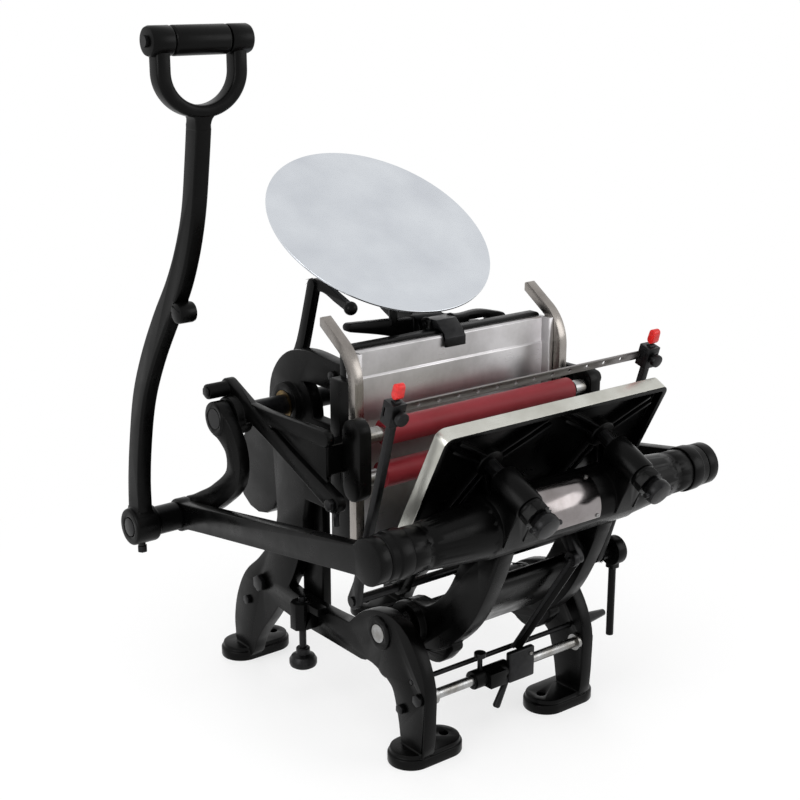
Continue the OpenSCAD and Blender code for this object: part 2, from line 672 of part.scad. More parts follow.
module bridge_barrel() {
    straight = screw_x + 20;
    taper_x = straight + 76;
    half = [[0, 0], [barrel_r, 0], [barrel_r, straight], [barrel_r - 1.2, straight + 2],
        [barrel_r - 2, straight + 10],
        [barrel_end_r + 1, taper_x], [barrel_end_r - 1, taper_x + 4], [barrel_end_r - 1, taper_x + 8],
        [barrel_end_r, taper_x + 10], [barrel_end_r, collar_in], [0, collar_in]];
    color(ENAMEL) difference() {
        union() {
            for (s = [-1, 1]) side(s) translate([0, barrel[0], barrel[1]]) rotate([0, 90, 0])
                rotate_extrude($fn = 96) polygon(half);
            for (s = [-1, 1]) swung_open() {
                translate([s * screw_x, lug_back, screw_z]) rotate([-90, 0, 0])
                    cylinder(r = 17, h = lug_front - lug_back, $fn = 56);
                translate([s * screw_x - 14, lug_back, barrel_shut[1]])
                    cube([28, lug_front - lug_back, screw_rise]);
            }
        }
        for (s = [-1, 1]) swung_open() translate([s * screw_x, lug_back - 2, screw_z])
            rotate([-90, 0, 0]) cylinder(r = screw_r + run, h = lug_front - lug_back + 4, $fn = 40);
    }
}
collar_in = barrel_half - 28;
module barrel_collars() {
    color(ENAMEL) for (s = [-1, 1]) side(s) translate([collar_in, barrel[0], barrel[1]]) rotate([0, 90, 0])
        rotate_extrude($fn = 80) polygon([
            [0, 0], [barrel_end_r + 1.5, 0], [barrel_end_r + 2, 1], [barrel_end_r + 2, 16],
            [barrel_end_r + 0.5, 17.5], [barrel_end_r + 0.5, 26], [barrel_end_r - 1, 28], [0, 28]
        ]);
}
plate_half = 44;
module bare_plate() {
    color(STEEL) translate([-plate_half, barrel[0], barrel[1]]) rotate([0, 90, 0])
        rotate(200) rotate_extrude(angle = 88, $fn = 96) translate([barrel_r + 0.05, 0]) square([1.6, 2 * plate_half]);
}
// Children drawn along an impression screw, from the back of its lug outwards
module on_screw(s) {
    swung_open() translate([s * screw_x, lug_back, screw_z]) rotate([90, 0, 0]) children();
}
nut_t = 11;
module screw_locknuts() {
    color(ENAMEL) for (s = [-1, 1]) on_screw(s) difference() {
        union() {
            cylinder(r = 15, h = 4, $fn = 48);
            translate([0, 0, 4]) hexagon(27, nut_t);
        }
        translate([0, 0, -1]) cylinder(r = screw_r + run, h = nut_t + 8, $fn = 40);
    }
}
module impression_screw(s) {
    reach = platen_back_y + 4 - lug_back - gap;
    knob_z = nut_t + 4 + gap;
    color(DARK) on_screw(s) {
        translate([0, 0, -reach]) cylinder(r = screw_r, h = reach + knob_z + 2, $fn = 40);
        translate([0, 0, knob_z]) linear_extrude(19) difference() {
            circle(r = 16, $fn = 60);
            for (i = [0:7]) rotate(45 * i) translate([18, 0]) circle(r = 4, $fn = 24);
        }
        translate([0, 0, lug_back - lug_front - 3]) cylinder(r = 12, h = 3 - gap, $fn = 48);
    }
}

// Grippers: a rocking shaft below the platen, a finger at each end, clamps, tips and a strip
gripper_shaft_r = 5;
finger_left_x = -198.5;
finger_right_x = platen_w / 2 + 10;
finger_lean = 16.7;
finger_line = [-sin(finger_lean), cos(finger_lean)];
function on_finger(t) = gripper + t * finger_line;
finger_len = 250;
strip_at = 238;
strip_h = 10;
lug_x = 134;
module gripper_shaft() {
    color(DARK) rod_x(gripper_shaft_r, finger_left_x - 6, finger_right_x + 6, gripper);
}
module finger_shape(extra) {
    bar([[on_finger(20)[0], on_finger(20)[1], 5 + extra], [on_finger(120)[0], on_finger(120)[1], 4.2 + extra],
        [on_finger(finger_len)[0], on_finger(finger_len)[1], 3.8 + extra]], 1);
}
module gripper_fingers() {
    color(DARK) for (x = [finger_left_x, finger_right_x]) difference() {
        across(x - 4, x + 4) {
            finger_shape(0);
            bar([[gripper[0], gripper[1], 9], [on_finger(24)[0], on_finger(24)[1], 5]], 1);
        }
        rod_x(gripper_shaft_r, x - 5, x + 5, gripper);
    }
}
// Children drawn with Z along the fingers and Y square to them, at the strip's height
module at_strip() {
    translate([0, on_finger(strip_at)[0], on_finger(strip_at)[1]]) rotate([finger_lean, 0, 0]) children();
}
strip_y = 4.8;
strip_t = 2;
module gripper_clamps() {
    color(DARK) for (x = [finger_left_x, finger_right_x]) difference() {
        at_strip() translate([x, 0, 0]) {
            translate([-9, -7, -13]) cube([18, 16, 26]);
            rotate([90, 0, 0]) cylinder(r = 3, h = 12, $fn = 24);
            translate([0, -10, 0]) rotate([90, 0, 0]) cylinder(r = 7.5, h = 6, $fn = 40);
        }
        across(x - 4.2, x + 4.2) finger_shape(0.2);
        at_strip() translate([-300, strip_y - 0.1, -strip_h / 2 - 0.1]) cube([600, strip_t + 0.2, strip_h + 0.2]);
    }
}
module gripper_tips() {
    color(RED) for (x = [finger_left_x, finger_right_x]) across(x - 5, x + 5)
        bar([for (t = [9.5, 18]) [on_finger(finger_len + t)[0], on_finger(finger_len + t)[1], 5.2 - t / 20]], 1);
}
module gripper_strip() {
    color(STEEL) at_strip() facing(strip_y, strip_y + strip_t) difference() {
        translate([finger_left_x - 7, -strip_h / 2]) square([finger_right_x - finger_left_x + 14, strip_h]);
        for (i = [0:11]) translate([finger_left_x + 36 + i * 27, 0]) circle(r = 2.2, $fn = 20);
    }
}
// Cross shaft under the barrel with its lever, and the flat link that hangs from the lever
link_shaft_r = 5;
link_lever_x = 46;
link_top = link_pivot + [-23, -28];
link_pin_r = 3;
module gripper_link() {
    top = [link_lever_x - 4, link_top[0], link_top[1]];
    foot = [16, link_top[0] + 66, link_top[1] - 125];
    color(ENAMEL) {
        rod_x(link_shaft_r, -92, 92, link_pivot);
        across(link_lever_x, link_lever_x + 8)
            bar([[link_pivot[0], link_pivot[1], 9], [link_top[0], link_top[1], 7]], 1);
        rod_x(link_pin_r, link_lever_x - 12, link_lever_x + 1, link_top);
        along(top, foot) translate([-2.5, -4, 0]) cube([5, 8, norm(foot - top)]);
        rod_x(9, link_lever_x - 8, link_lever_x - gap, link_top);
    }
}

// Roller frame: an arm each side of the press on the main shaft, sprung saddles, two rollers
function arm_bars() = [
    [[62, 404, 12], [-40, 362.5, 9], [-145, 320, 11]],
    [[shaft[0], shaft[1] + 6, 16], [-20, 386, 9], [-127, 388, 9]]
];
stub_at = [62, 404];
guide_z = (upper_at[1] + lower_at[1]) / 2;
saddle_y = (upper_at[0] + lower_at[0]) / 2;
saddle_half = 15.5;
lug_y = saddle_y + saddle_half + gap;
lug_t = 24;
cup_len = saddle_travel + 24;
module roller_arm(s) {
    color(ENAMEL) side(s) difference() {
        union() {
            across(arm_in, arm_out) bar(arm_bars()[0]);
            across(arm_in, arm_out - 2) bar(arm_bars()[1]);
            across(arm_in, arm_in + 5) polygon([
                [shaft[0], shaft[1]], [-20, 388], [-127, 388], [lug_y, 334], [-118, 330], [-40, 362]
            ]);
            rod_x(23, arm_in, arm_hub_out, shaft);
            rod_x(9, arm_in, crank_boss_out - 2, stub_at);
            translate([saddle_in, lug_y, guide_z - 17]) cube([arm_in + 4 - saddle_in, lug_t, 34]);
            translate([saddle_in + saddle_t / 2, lug_y + lug_t - 1, guide_z]) rotate([-90, 0, 0])
                cylinder(r = 8, h = cup_len, $fn = 48);
        }
        rod_x(main_shaft_r + run, arm_in - 1, arm_hub_out + 1, shaft);
        translate([saddle_in + saddle_t / 2, lug_y - 1, guide_z]) rotate([-90, 0, 0])
            cylinder(r = guide_r + run, h = lug_t + cup_len - 4, $fn = 40);
    }
}
guide_r = 4.5;
module roller_arm_bolts() {
    color(DARK) for (s = [-1, 1]) side(s) {
        translate([crank_boss_out - 2, stub_at[0], stub_at[1]]) rotate([0, 90, 0]) hexagon(12, 2);
        translate([arm_out, -145, 320]) rotate([0, 90, 0]) hexagon(12, 6);
        translate([arm_in + 6, -145, 294]) cylinder(r = 3.5, h = 15, $fn = 30);
    }
}
module saddle(s) {
    profile = [[saddle_y, upper_at[1] + 6, saddle_half], [saddle_y, lower_at[1] - 6, saddle_half]];
    color(ENAMEL) side(s) difference() {
        union() {
            across(saddle_in, saddle_out) bar(profile, 1);
            translate([saddle_in + saddle_t / 2, saddle_y, guide_z]) rotate([-90, 0, 0])
                cylinder(r = guide_r, h = saddle_half + lug_t + cup_len - 8, $fn = 40);
        }
        for (p = [upper_at, lower_at]) rod_x(journal_r + run, saddle_in - 1, saddle_in + 11 + gap, p);
    }
}
journal_r = 5;
module roller_core(p) {
    color(STEEL) {
        rod_x(core_r, -truck_in, truck_in, p);
        rod_x(journal_r, -saddle_in - 11, saddle_in + 11, p);
    }
}
module roller_rubber(p) {
    color(RUBBER) difference() {
        rod_x(rubber_r, -rubber_len / 2, rubber_len / 2, p);
        rod_x(core_r, -rubber_len, rubber_len, p);
    }
}
module roller_trucks(p) {
    color(STEEL) for (s = [-1, 1]) side(s) difference() {
        rod_x(truck_r, truck_in + 1, rail_out + 3, p);
        rod_x(journal_r, truck_in, rail_out + 4, p);
    }
}

// Clamp and thumbscrew on the front rod
clamp_x = -28;
module rod_clamp() {
    color(ENAMEL) difference() {
        union() {
            rod_x(11, clamp_x - 26, clamp_x + 26, front_rod);
            translate([clamp_x - 12, front_rod[0] - 18, front_rod[1] - 9]) cube([24, 18, 18]);
        }
        rod_x(front_rod_r + run, clamp_x - 27, clamp_x + 27, front_rod);
        translate([clamp_x - 14, front_rod[0], front_rod[1] + 5]) cylinder(r = 3 + run, h = 12, $fn = 30);
    }
}
module clamp_thumbscrew() {
    color(STEEL) translate([clamp_x - 14, front_rod[0], front_rod[1]]) {
        translate([0, 0, front_rod_r + gap]) cylinder(r = 3, h = 22, $fn = 30);
        translate([0, 0, 26]) cylinder(r = 7, h = 6, $fn = 40);
    }
}
// Control wheel that hangs under the right of the barrel, with its rod
knob_at = [-241, 214];
knob_in = frame_out - 12;
knob_pin_r = 4;
module control_bracket() {
    strap_out = screw_x + 20;
    color(ENAMEL) difference() {
        union() {
            across(strap_out - 10, strap_out)
                bar([[barrel[0] + 3, barrel[1] - 22, 11], [knob_at[0], knob_at[1], 8]], 1);
            rod_x(8, strap_out, knob_in, knob_at);
            rod_x(knob_pin_r, knob_in, knob_in + 16, knob_at);
        }
        rod_x(barrel_r, strap_out - 11, knob_in + 1, barrel);
    }
}
module control_knob() {
    control_rod();
    color(ENAMEL) difference() {
        union() {
            rod_x(17, knob_in + gap, knob_in + 14, knob_at);
            translate([knob_in + 2, knob_at[0] - 6, knob_at[1] - 22]) cube([11, 12, 22]);
        }
        rod_x(knob_pin_r + run, knob_in - 1, knob_in + 17, knob_at);
    }
}
module control_rod() {
    color(ENAMEL) translate([knob_in + 7.5, knob_at[0], knob_at[1] - 22 - 86]) cylinder(r = 4.5, h = 86, $fn = 32);
}

side_frame(-1);  // side_frame_left
side_frame(1);  // side_frame_right
bed_casting();
bed_plate();
rail(-1);  // rail_left
rail(1);  // rail_right
chase_latch();
rear_tie_bar();
front_tie_rod();
upper_front_rod();
rocker_shaft();
frame_bolts();
main_shaft_bushes();
disc_bracket();
disc_spindle();
stop_post();
stop_block();
stop_screw();
main_shaft();
crank(-1);  // crank_left
crank(1);  // crank_right
crank_pins();
hand_lever();
lever_screws();
grip_rod();
grip_sleeve();
side_arm(-1);  // side_arm_left
side_arm(1);  // side_arm_right
platen();
rocker();
bridge_barrel();
barrel_collars();
bare_plate();
screw_locknuts();
impression_screw(-1);  // impression_screw_left
impression_screw(1);  // impression_screw_right
gripper_shaft();
gripper_fingers();
gripper_clamps();
gripper_tips();
gripper_strip();
gripper_link();
roller_arm(-1);  // roller_arm_left
roller_arm(1);  // roller_arm_right
roller_arm_bolts();
saddle(-1);  // saddle_left
saddle(1);  // saddle_right
roller_core(upper_at);  // upper_roller_core
roller_rubber(upper_at);  // upper_roller_rubber
roller_core(lower_at);  // lower_roller_core
roller_rubber(lower_at);  // lower_roller_rubber
roller_trucks(upper_at);  // roller_trucks_upper
roller_trucks(lower_at);  // roller_trucks_lower
ink_disc();
disc_ratchet();
pawl_arm();
rod_clamp();
clamp_thumbscrew();
control_bracket();
control_knob();
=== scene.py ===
"""Tabletop letterpress: finishes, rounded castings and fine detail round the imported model."""
import json
import math

import bpy
from mathutils import Matrix, Vector


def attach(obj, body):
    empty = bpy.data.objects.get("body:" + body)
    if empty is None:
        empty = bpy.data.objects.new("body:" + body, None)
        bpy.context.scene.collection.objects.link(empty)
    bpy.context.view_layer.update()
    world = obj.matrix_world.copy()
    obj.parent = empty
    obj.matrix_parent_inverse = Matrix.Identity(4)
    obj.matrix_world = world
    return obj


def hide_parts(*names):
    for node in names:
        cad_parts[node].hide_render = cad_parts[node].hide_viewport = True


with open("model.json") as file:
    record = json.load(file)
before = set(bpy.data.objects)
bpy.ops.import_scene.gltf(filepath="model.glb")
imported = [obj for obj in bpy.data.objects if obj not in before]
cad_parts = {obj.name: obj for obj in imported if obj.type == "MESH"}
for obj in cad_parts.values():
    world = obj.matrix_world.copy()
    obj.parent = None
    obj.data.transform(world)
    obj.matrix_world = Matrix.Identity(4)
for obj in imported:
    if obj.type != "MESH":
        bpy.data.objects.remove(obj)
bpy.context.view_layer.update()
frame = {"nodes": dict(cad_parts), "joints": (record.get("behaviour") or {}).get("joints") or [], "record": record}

bl_info = {
    "name": "Tabletop letterpress",
    "version": (1, 0, 0),
    "blender": (4, 5, 0),
    "location": "View3D > Sidebar > Letterpress",
    "description": "Dresses the packed letterpress with finishes, rounded castings and detail",
    "category": "Object",
}

# Lengths are in metres. A number times MM, and every table of rings, is in millimetres.
MM = 0.001
BODY_OF = {node: body for body, nodes in frame["record"]["behaviour"]["bodies"].items()
           for node in nodes}
SLOT_OF = {part["node"]: part["material_slot"] for part in frame["record"]["subparts"]}
JOINT = {joint["name"]: joint for joint in frame["joints"]}

# The platen is drawn shut, upright against the bed, and then swung open about the rocker.
PLATEN_OPEN = math.radians(27.2)
ROCKER = Vector(JOINT["platen_swing"]["pos_m"])
PLATEN_TURN = (Matrix.Translation(ROCKER) @ Matrix.Rotation(PLATEN_OPEN, 4, "X")
               @ Matrix.Translation(-ROCKER))

GRIP = Vector(JOINT["grip_spin"]["pos_m"])      # middle of the lever's grip
BARREL = Vector((0, -263 * MM, 302 * MM))       # middle of the bridge barrel
RAIL_IN = 148 * MM                              # from the middle to a rail's inner side

HEAVY = (
    "side_frame_left", "side_frame_right", "crank_left", "crank_right", "side_arm_left",
    "side_arm_right", "rocker", "roller_arm_left", "roller_arm_right", "disc_bracket",
    "bed_casting", "stop_post", "bridge_barrel",
)
LIGHT = (
    "saddle_left", "saddle_right", "stop_block", "pawl_arm", "gripper_link", "gripper_clamps",
    "screw_locknuts", "control_knob", "control_bracket", "rod_clamp", "lever_screws",
    "roller_arm_bolts", "frame_bolts", "chase_latch", "barrel_collars", "grip_sleeve",
    "gripper_fingers", "gripper_tips", "upper_front_rod", "crank_pins", "rocker_shaft",
    "clamp_thumbscrew",
)
BRIGHT = ("rail_left", "rail_right", "ink_disc", "gripper_strip", "bare_plate")

SHARP = math.radians(32.0)      # edges sharper than this are bevelled and shaded sharp
MERGED, LEVEL = 0.005 * MM, math.radians(0.4)   # points that are one, and facets that are one
NEAR = 0.1 * MM                 # how close a point lies to the side it is picked for
FACING, SIDEWAYS = 0.9, 0.1     # share of a normal along an axis that it faces, or stands across


class CastingSizes(bpy.types.PropertyGroup):
    """Sizes of the rounded edges"""
    cast_edge: bpy.props.FloatProperty(
        name="Cast edge", description="Radius on the edges of the heavy castings",
        default=1.6 * MM, unit="LENGTH")
    fine_edge: bpy.props.FloatProperty(
        name="Fine edge", description="Radius on the edges of small fittings",
        default=0.7 * MM, unit="LENGTH")
    ground_edge: bpy.props.FloatProperty(
        name="Ground edge", description="Broken edge of the ground steel",
        default=0.4 * MM, unit="LENGTH")
    lever_edge: bpy.props.FloatProperty(
        name="Lever edge", description="Radius on the edges of the hand lever and its neck",
        default=3.2 * MM, unit="LENGTH")


class FinishColours(bpy.types.PropertyGroup):
    """Colours of the finishes"""
    enamel: bpy.props.StringProperty(
        name="Enamel", description="Stove enamel on the castings", default="#020202")
    dull: bpy.props.StringProperty(
        name="Dull enamel", description="Enamel where dust has dulled it", default="#070707")
    steel: bpy.props.StringProperty(
        name="Ground steel", description="Face of the bed", default="#c6c4c5")
    rubber: bpy.props.StringProperty(
        name="Rubber", description="Covers of the inking rollers", default="#6e131b")
    tip: bpy.props.StringProperty(
        name="Tip", description="Caps of the gripper rods", default="#d21f1c")
    floor: bpy.props.StringProperty(
        name="Floor", description="Floor and backdrop", default="#ffffff")


# Finishes

NOISE_MIDDLE = (0.3, 0.7)       # the range that most of a noise pattern lies in
FLOOR_GLOW = 0.7                # share of plain white in the floor close to the press
GLOW_NEAR, GLOW_FAR = 0.25, 0.85    # metres from the press where it starts to grow, and is all
WORLD_LIGHT = 0.5               # strength of the world as a light; it is seen at full strength


def srgb(value):
    """Linear colour from an sRGB hex value."""
    parts = [int(value[i:i + 2], 16) / 255 for i in (1, 3, 5)]
    return (*(p / 12.92 if p <= 0.04045 else ((p + 0.055) / 1.055) ** 2.4 for p in parts), 1.0)


def per_mm(size):
    """Texture scale of a pattern whose features are this many millimetres wide."""
    return 1 / (size * MM)


def add_node(tree, kind, inputs=None, **settings):
    """Adds one shader node with its settings, values and links."""
    made = tree.nodes.new("ShaderNode" + kind)
    for name, value in settings.items():
        setattr(made, name, value)
    for socket, value in (inputs or {}).items():
        if isinstance(value, bpy.types.NodeSocket):
            tree.links.new(value, made.inputs[socket])
        else:
            made.inputs[socket].default_value = value
    return made


def start_material(name, inputs):
    """A material with one surface shader: the material, its tree, its shader and coordinates."""
    material = bpy.data.materials.new(name)
    material.use_nodes = True
    tree = material.node_tree
    tree.nodes.clear()
    shader = add_node(tree, "BsdfPrincipled", inputs)
    add_node(tree, "OutputMaterial", {"Surface": shader.outputs["BSDF"]})
    place = add_node(tree, "TexCoord").outputs["Object"]
    return material, tree, shader, place


def seen_ray(tree):
    """One for the rays that show the background: camera, glossy and transmission."""
    path = add_node(tree, "LightPath").outputs
    seen = path["Is Camera Ray"]
    for kind in ("Is Glossy Ray", "Is Transmission Ray"):
        seen = add_node(tree, "Math", {0: seen, 1: path[kind]},
                        operation="MAXIMUM").outputs["Value"]
    return seen


def tool_lines(tree, place, scale):
    """The marks of a tool: noise drawn out along one axis."""
    lined = add_node(tree, "Mapping", {"Vector": place, "Scale": scale}).outputs["Vector"]
    return add_node(tree, "TexNoise", {
        "Vector": lined, "Scale": 1.0, "Detail": 2.0}).outputs["Fac"]


def vary(tree, shader, tones, sheen, bumps=()):
    """Varies a surface by patterns: its colour, its roughness and its relief.

    tones: a pattern, the range of it that counts, the second colour's greatest share, and both.
    sheen: a pattern, the range of it that counts, and the range of roughness.
    bumps: patterns, each with its strength and its depth in millimetres, the lowest first.
    """
    pattern, (start, end), most, first, second = tones
    share = add_node(tree, "MapRange", {
        "Value": pattern, "From Min": start, "From Max": end, "To Max": most}).outputs["Result"]
    # The colour sockets of a Mix node share their names with its other sockets: by number.
    colour = add_node(tree, "Mix", {0: share, 6: srgb(first), 7: srgb(second)}, data_type="RGBA")
    tree.links.new(colour.outputs[2], shader.inputs["Base Color"])
    pattern, (start, end), (smooth, dull) = sheen
    roughness = add_node(tree, "MapRange", {
        "Value": pattern, "From Min": start, "From Max": end, "To Min": smooth, "To Max": dull})
    tree.links.new(roughness.outputs["Result"], shader.inputs["Roughness"])
    below = {}
    for height, strength, depth in bumps:
        bump = add_node(tree, "Bump", {
            "Height": height, "Strength": strength, "Distance": depth * MM, **below})
        below = {"Normal": bump.outputs["Normal"]}
    if below:
        tree.links.new(below["Normal"], shader.inputs["Normal"])


def stove_enamel(colours):
    """Black stove enamel on sand-cast iron: deep satin black over a faint cast skin."""
    material, tree, shader, place = start_material("Stove enamel on cast iron", {
        "Metallic": 0.0, "Specular IOR Level": 0.10})
    # The sand's grain is finer than this and is drawn as coarse as it needs to show.
    skin = add_node(tree, "TexNoise", {
        "Vector": place, "Scale": per_mm(1.6), "Detail": 4.0}).outputs["Fac"]
    flow = add_node(tree, "TexNoise", {
        "Vector": place, "Scale": per_mm(22.0), "Detail": 2.0}).outputs["Fac"]
    dust = add_node(tree, "TexNoise", {
        "Vector": place, "Scale": per_mm(60.0), "Detail": 5.0, "Roughness": 0.6}).outputs["Fac"]
    vary(tree, shader, (dust, (0.45, 0.75), 0.8, colours.enamel, colours.dull),
         (flow, NOISE_MIDDLE, (0.24, 0.38)), ((flow, 0.25, 0.5), (skin, 0.18, 0.12)))
    return material


def ground_steel(name, along, roughness, bright, dim):
    """Surface-ground mild steel: bright, with fine lines one way and faint handling marks."""
    material, tree, shader, place = start_material(name, {"Metallic": 1.0, "Anisotropic": 0.4})
    # A wheel's lines are finer than 0.6 mm and are drawn as coarse as they need to show.
    lines = tool_lines(tree, place, [per_mm(40.0 if axis == along else 0.6) for axis in "XYZ"])
    marks = add_node(tree, "TexNoise", {
        "Vector": place, "Scale": per_mm(45.0), "Detail": 5.0, "Roughness": 0.6}).outputs["Fac"]
    start, end = NOISE_MIDDLE
    halves = [add_node(tree, "MapRange", {
        "Value": pattern, "From Min": start, "From Max": end, "To Max": 0.5}).outputs["Result"]
        for pattern in (lines, marks)]
    both = add_node(tree, "Math", {0: halves[0], 1: halves[1]}, operation="ADD").outputs["Value"]
    vary(tree, shader, (marks, (0.4, 0.7), 1.0, bright, dim),
         (both, (0.0, 1.0), roughness), ((lines, 0.12, 0.03),))
    return material


def disc_steel():
    """Turned and polished steel ink disc: fine rings round its spindle."""
    joint = JOINT["disc_turn"]
    tilt = math.atan2(-joint["axis"][1], joint["axis"][2])
    material, tree, shader, place = start_material("Turned and polished steel disc", {
        "Metallic": 1.0, "Anisotropic": 0.3})
    centred = add_node(tree, "VectorMath", {0: place, 1: Vector(joint["pos_m"])},
                       operation="SUBTRACT").outputs["Vector"]
    level = add_node(tree, "VectorRotate", {"Vector": centred, "Angle": -tilt},
                     rotation_type="X_AXIS").outputs["Vector"]
    parts = add_node(tree, "SeparateXYZ", {"Vector": level}).outputs
    flat = add_node(tree, "CombineXYZ", {"X": parts["X"], "Y": parts["Y"]}).outputs["Vector"]
    radius = add_node(tree, "VectorMath", {0: flat}, operation="LENGTH").outputs["Value"]
    # A lathe's rings are finer than 0.9 mm and are drawn as coarse as they need to show.
    rings = add_node(tree, "TexNoise", {"W": radius, "Scale": per_mm(0.9), "Detail": 2.0},
                     noise_dimensions="1D").outputs["Fac"]
    marks = add_node(tree, "TexNoise", {
        "Vector": place, "Scale": per_mm(60.0), "Detail": 4.0}).outputs["Fac"]
    vary(tree, shader, (marks, NOISE_MIDDLE, 1.0, "#d3d7dc", "#c6cad0"),
         (rings, NOISE_MIDDLE, (0.20, 0.30)), ((rings, 0.10, 0.02),))
    return material


def turned_steel():
    """Turned mild steel bar: grey, with lathe lines round it."""
    material, tree, shader, place = start_material("Turned mild steel", {"Metallic": 1.0})
    # A tool's lines are finer than 0.8 mm and are drawn as coarse as they need to show.
    lines = tool_lines(tree, place, (per_mm(0.8), per_mm(14.0), per_mm(14.0)))
    oil = add_node(tree, "TexNoise", {
        "Vector": place, "Scale": per_mm(18.0), "Detail": 4.0}).outputs["Fac"]
    vary(tree, shader, (oil, NOISE_MIDDLE, 1.0, "#a7a8a9", "#77746f"),
         (lines, NOISE_MIDDLE, (0.24, 0.38)), ((lines, 0.15, 0.04),))
    return material


def blackened_steel():
    """Oil-blackened steel: dark metal with a dull sheen, mottled where the oil has worn off."""
    material, tree, shader, place = start_material("Oil-blackened steel", {"Metallic": 0.75})
    patch = add_node(tree, "TexNoise", {
        "Vector": place, "Scale": per_mm(7.0), "Detail": 5.0, "Roughness": 0.6}).outputs["Fac"]
    vary(tree, shader, (patch, NOISE_MIDDLE, 1.0, "#111112", "#202021"),
         (patch, NOISE_MIDDLE, (0.30, 0.46)), ((patch, 0.15, 0.08),))
    return material


def machined_bronze():
    """Machined bronze: warm yellow-brown bearing metal, dulled by oil."""
    material, tree, shader, place = start_material("Machined bronze", {"Metallic": 1.0})
    oil = add_node(tree, "TexNoise", {
        "Vector": place, "Scale": per_mm(9.0), "Detail": 4.0}).outputs["Fac"]
    vary(tree, shader, (oil, NOISE_MIDDLE, 1.0, "#6f5b36", "#3d3120"),
         (oil, NOISE_MIDDLE, (0.28, 0.45)))
    return material


def roller_rubber(colours):
    """Ground red rubber: matt and even, with a faint bloom over a fine ground skin."""
    material, tree, shader, place = start_material("Ground red roller rubber", {
        "Specular IOR Level": 0.3})
    bloom = add_node(tree, "TexNoise", {
        "Vector": place, "Scale": per_mm(35.0), "Detail": 4.0, "Roughness": 0.6}).outputs["Fac"]
    # The ground skin is finer than 0.8 mm and is drawn as coarse as it needs to show.
    fine = add_node(tree, "TexNoise", {
        "Vector": place, "Scale": per_mm(0.8), "Detail": 2.0}).outputs["Fac"]
    vary(tree, shader, (bloom, NOISE_MIDDLE, 1.0, colours.rubber, "#7a222a"),
         (bloom, NOISE_MIDDLE, (0.42, 0.56)), ((fine, 0.12, 0.05),))
    return material


def dipped_plastic(colours):
    """Dipped vinyl cap: bright red, smooth, with a soft shine."""
    material, tree, shader, place = start_material("Dipped red vinyl", {"IOR": 1.46})
    wave = add_node(tree, "TexNoise", {
        "Vector": place, "Scale": per_mm(5.0), "Detail": 2.0}).outputs["Fac"]
    vary(tree, shader, (wave, NOISE_MIDDLE, 1.0, colours.tip, "#b51512"),
         (wave, NOISE_MIDDLE, (0.26, 0.36)))
    return material


def pale_floor(colours):
    """Matt paper sweep: keeps the shadow near the press and goes to white away from it."""
    material, tree, shader, place = start_material("Matt paper sweep", {"Roughness": 0.9})
    fibre = add_node(tree, "TexNoise", {
        "Vector": place, "Scale": per_mm(3.0), "Detail": 3.0}).outputs["Fac"]
    tone = add_node(tree, "Mix", {0: fibre, 6: srgb(colours.floor), 7: srgb("#fbfbfb")},
                    data_type="RGBA").outputs[2]
    tree.links.new(tone, shader.inputs["Base Color"])
    away = add_node(tree, "VectorMath", {0: place}, operation="LENGTH").outputs["Value"]
    far = add_node(tree, "MapRange", {
        "Value": away, "From Min": GLOW_NEAR, "From Max": GLOW_FAR,
        "To Min": FLOOR_GLOW, "To Max": 1.0}).outputs["Result"]
    share = add_node(tree, "Math", {0: far, 1: seen_ray(tree)},
                     operation="MULTIPLY").outputs["Value"]
    glow = add_node(tree, "Emission", {"Color": srgb("#ffffff"), "Strength": 1.0})
    mix = add_node(tree, "MixShader", {
        0: share, 1: shader.outputs["BSDF"], 2: glow.outputs["Emission"]})
    tree.links.new(mix.outputs["Shader"], tree.nodes["Material Output"].inputs["Surface"])
    return material


FINISH = {}              # finishes by the name of a slot or a look, filled by make_finishes
LOOKS = {                # nodes that don't look like their slot
    "rail_left": "rail", "rail_right": "rail", "ink_disc": "disc", "bare_plate": "plate",
    "gripper_strip": "strip", "main_shaft": "blackened_steel", "crank_pins": "blackened_steel",
    "grip_rod": "blackened_steel", "clamp_thumbscrew": "blackened_steel",
}


def make_finishes(colours):
    """Every finish, kept by the name of its slot or its look."""
    FINISH.update({
        "enamel": stove_enamel(colours),
        "turned_steel": turned_steel(),
        "blackened_steel": blackened_steel(),
        "bronze": machined_bronze(),
        "roller_rubber": roller_rubber(colours),
        "red_tip": dipped_plastic(colours),
        "polished_steel": ground_steel("Surface-ground steel", "X", (0.26, 0.40),
                                       colours.steel, "#adabab"),
        "rail": ground_steel("Ground steel rail", "Z", (0.22, 0.32), "#97928d", "#7d7874"),
        "edge": ground_steel("Machined platen edge", "X", (0.24, 0.36), "#c9c9c2", "#b4b3ab"),
        "plate": ground_steel("Brushed steel plate", "X", (0.14, 0.22), "#8d8888", "#7b7574"),
        "strip": ground_steel("Drawn steel strip", "X", (0.30, 0.38), "#7f7c7b", "#716e6d"),
        "disc": disc_steel(),
        "floor": pale_floor(colours),
    })


def look_of(node):
    """The name of the finish that a CAD node wears."""
    return LOOKS.get(node, SLOT_OF[node])


# Modelling

def deselect():
    """Object mode with nothing selected."""
    if bpy.context.object is not None and bpy.context.object.mode != "OBJECT":
        bpy.ops.object.mode_set(mode="OBJECT")
    bpy.ops.object.select_all(action="DESELECT")


def pick(piece):
    """Only this piece selected and active."""
    deselect()
    piece.select_set(True)
    bpy.context.view_layer.objects.active = piece


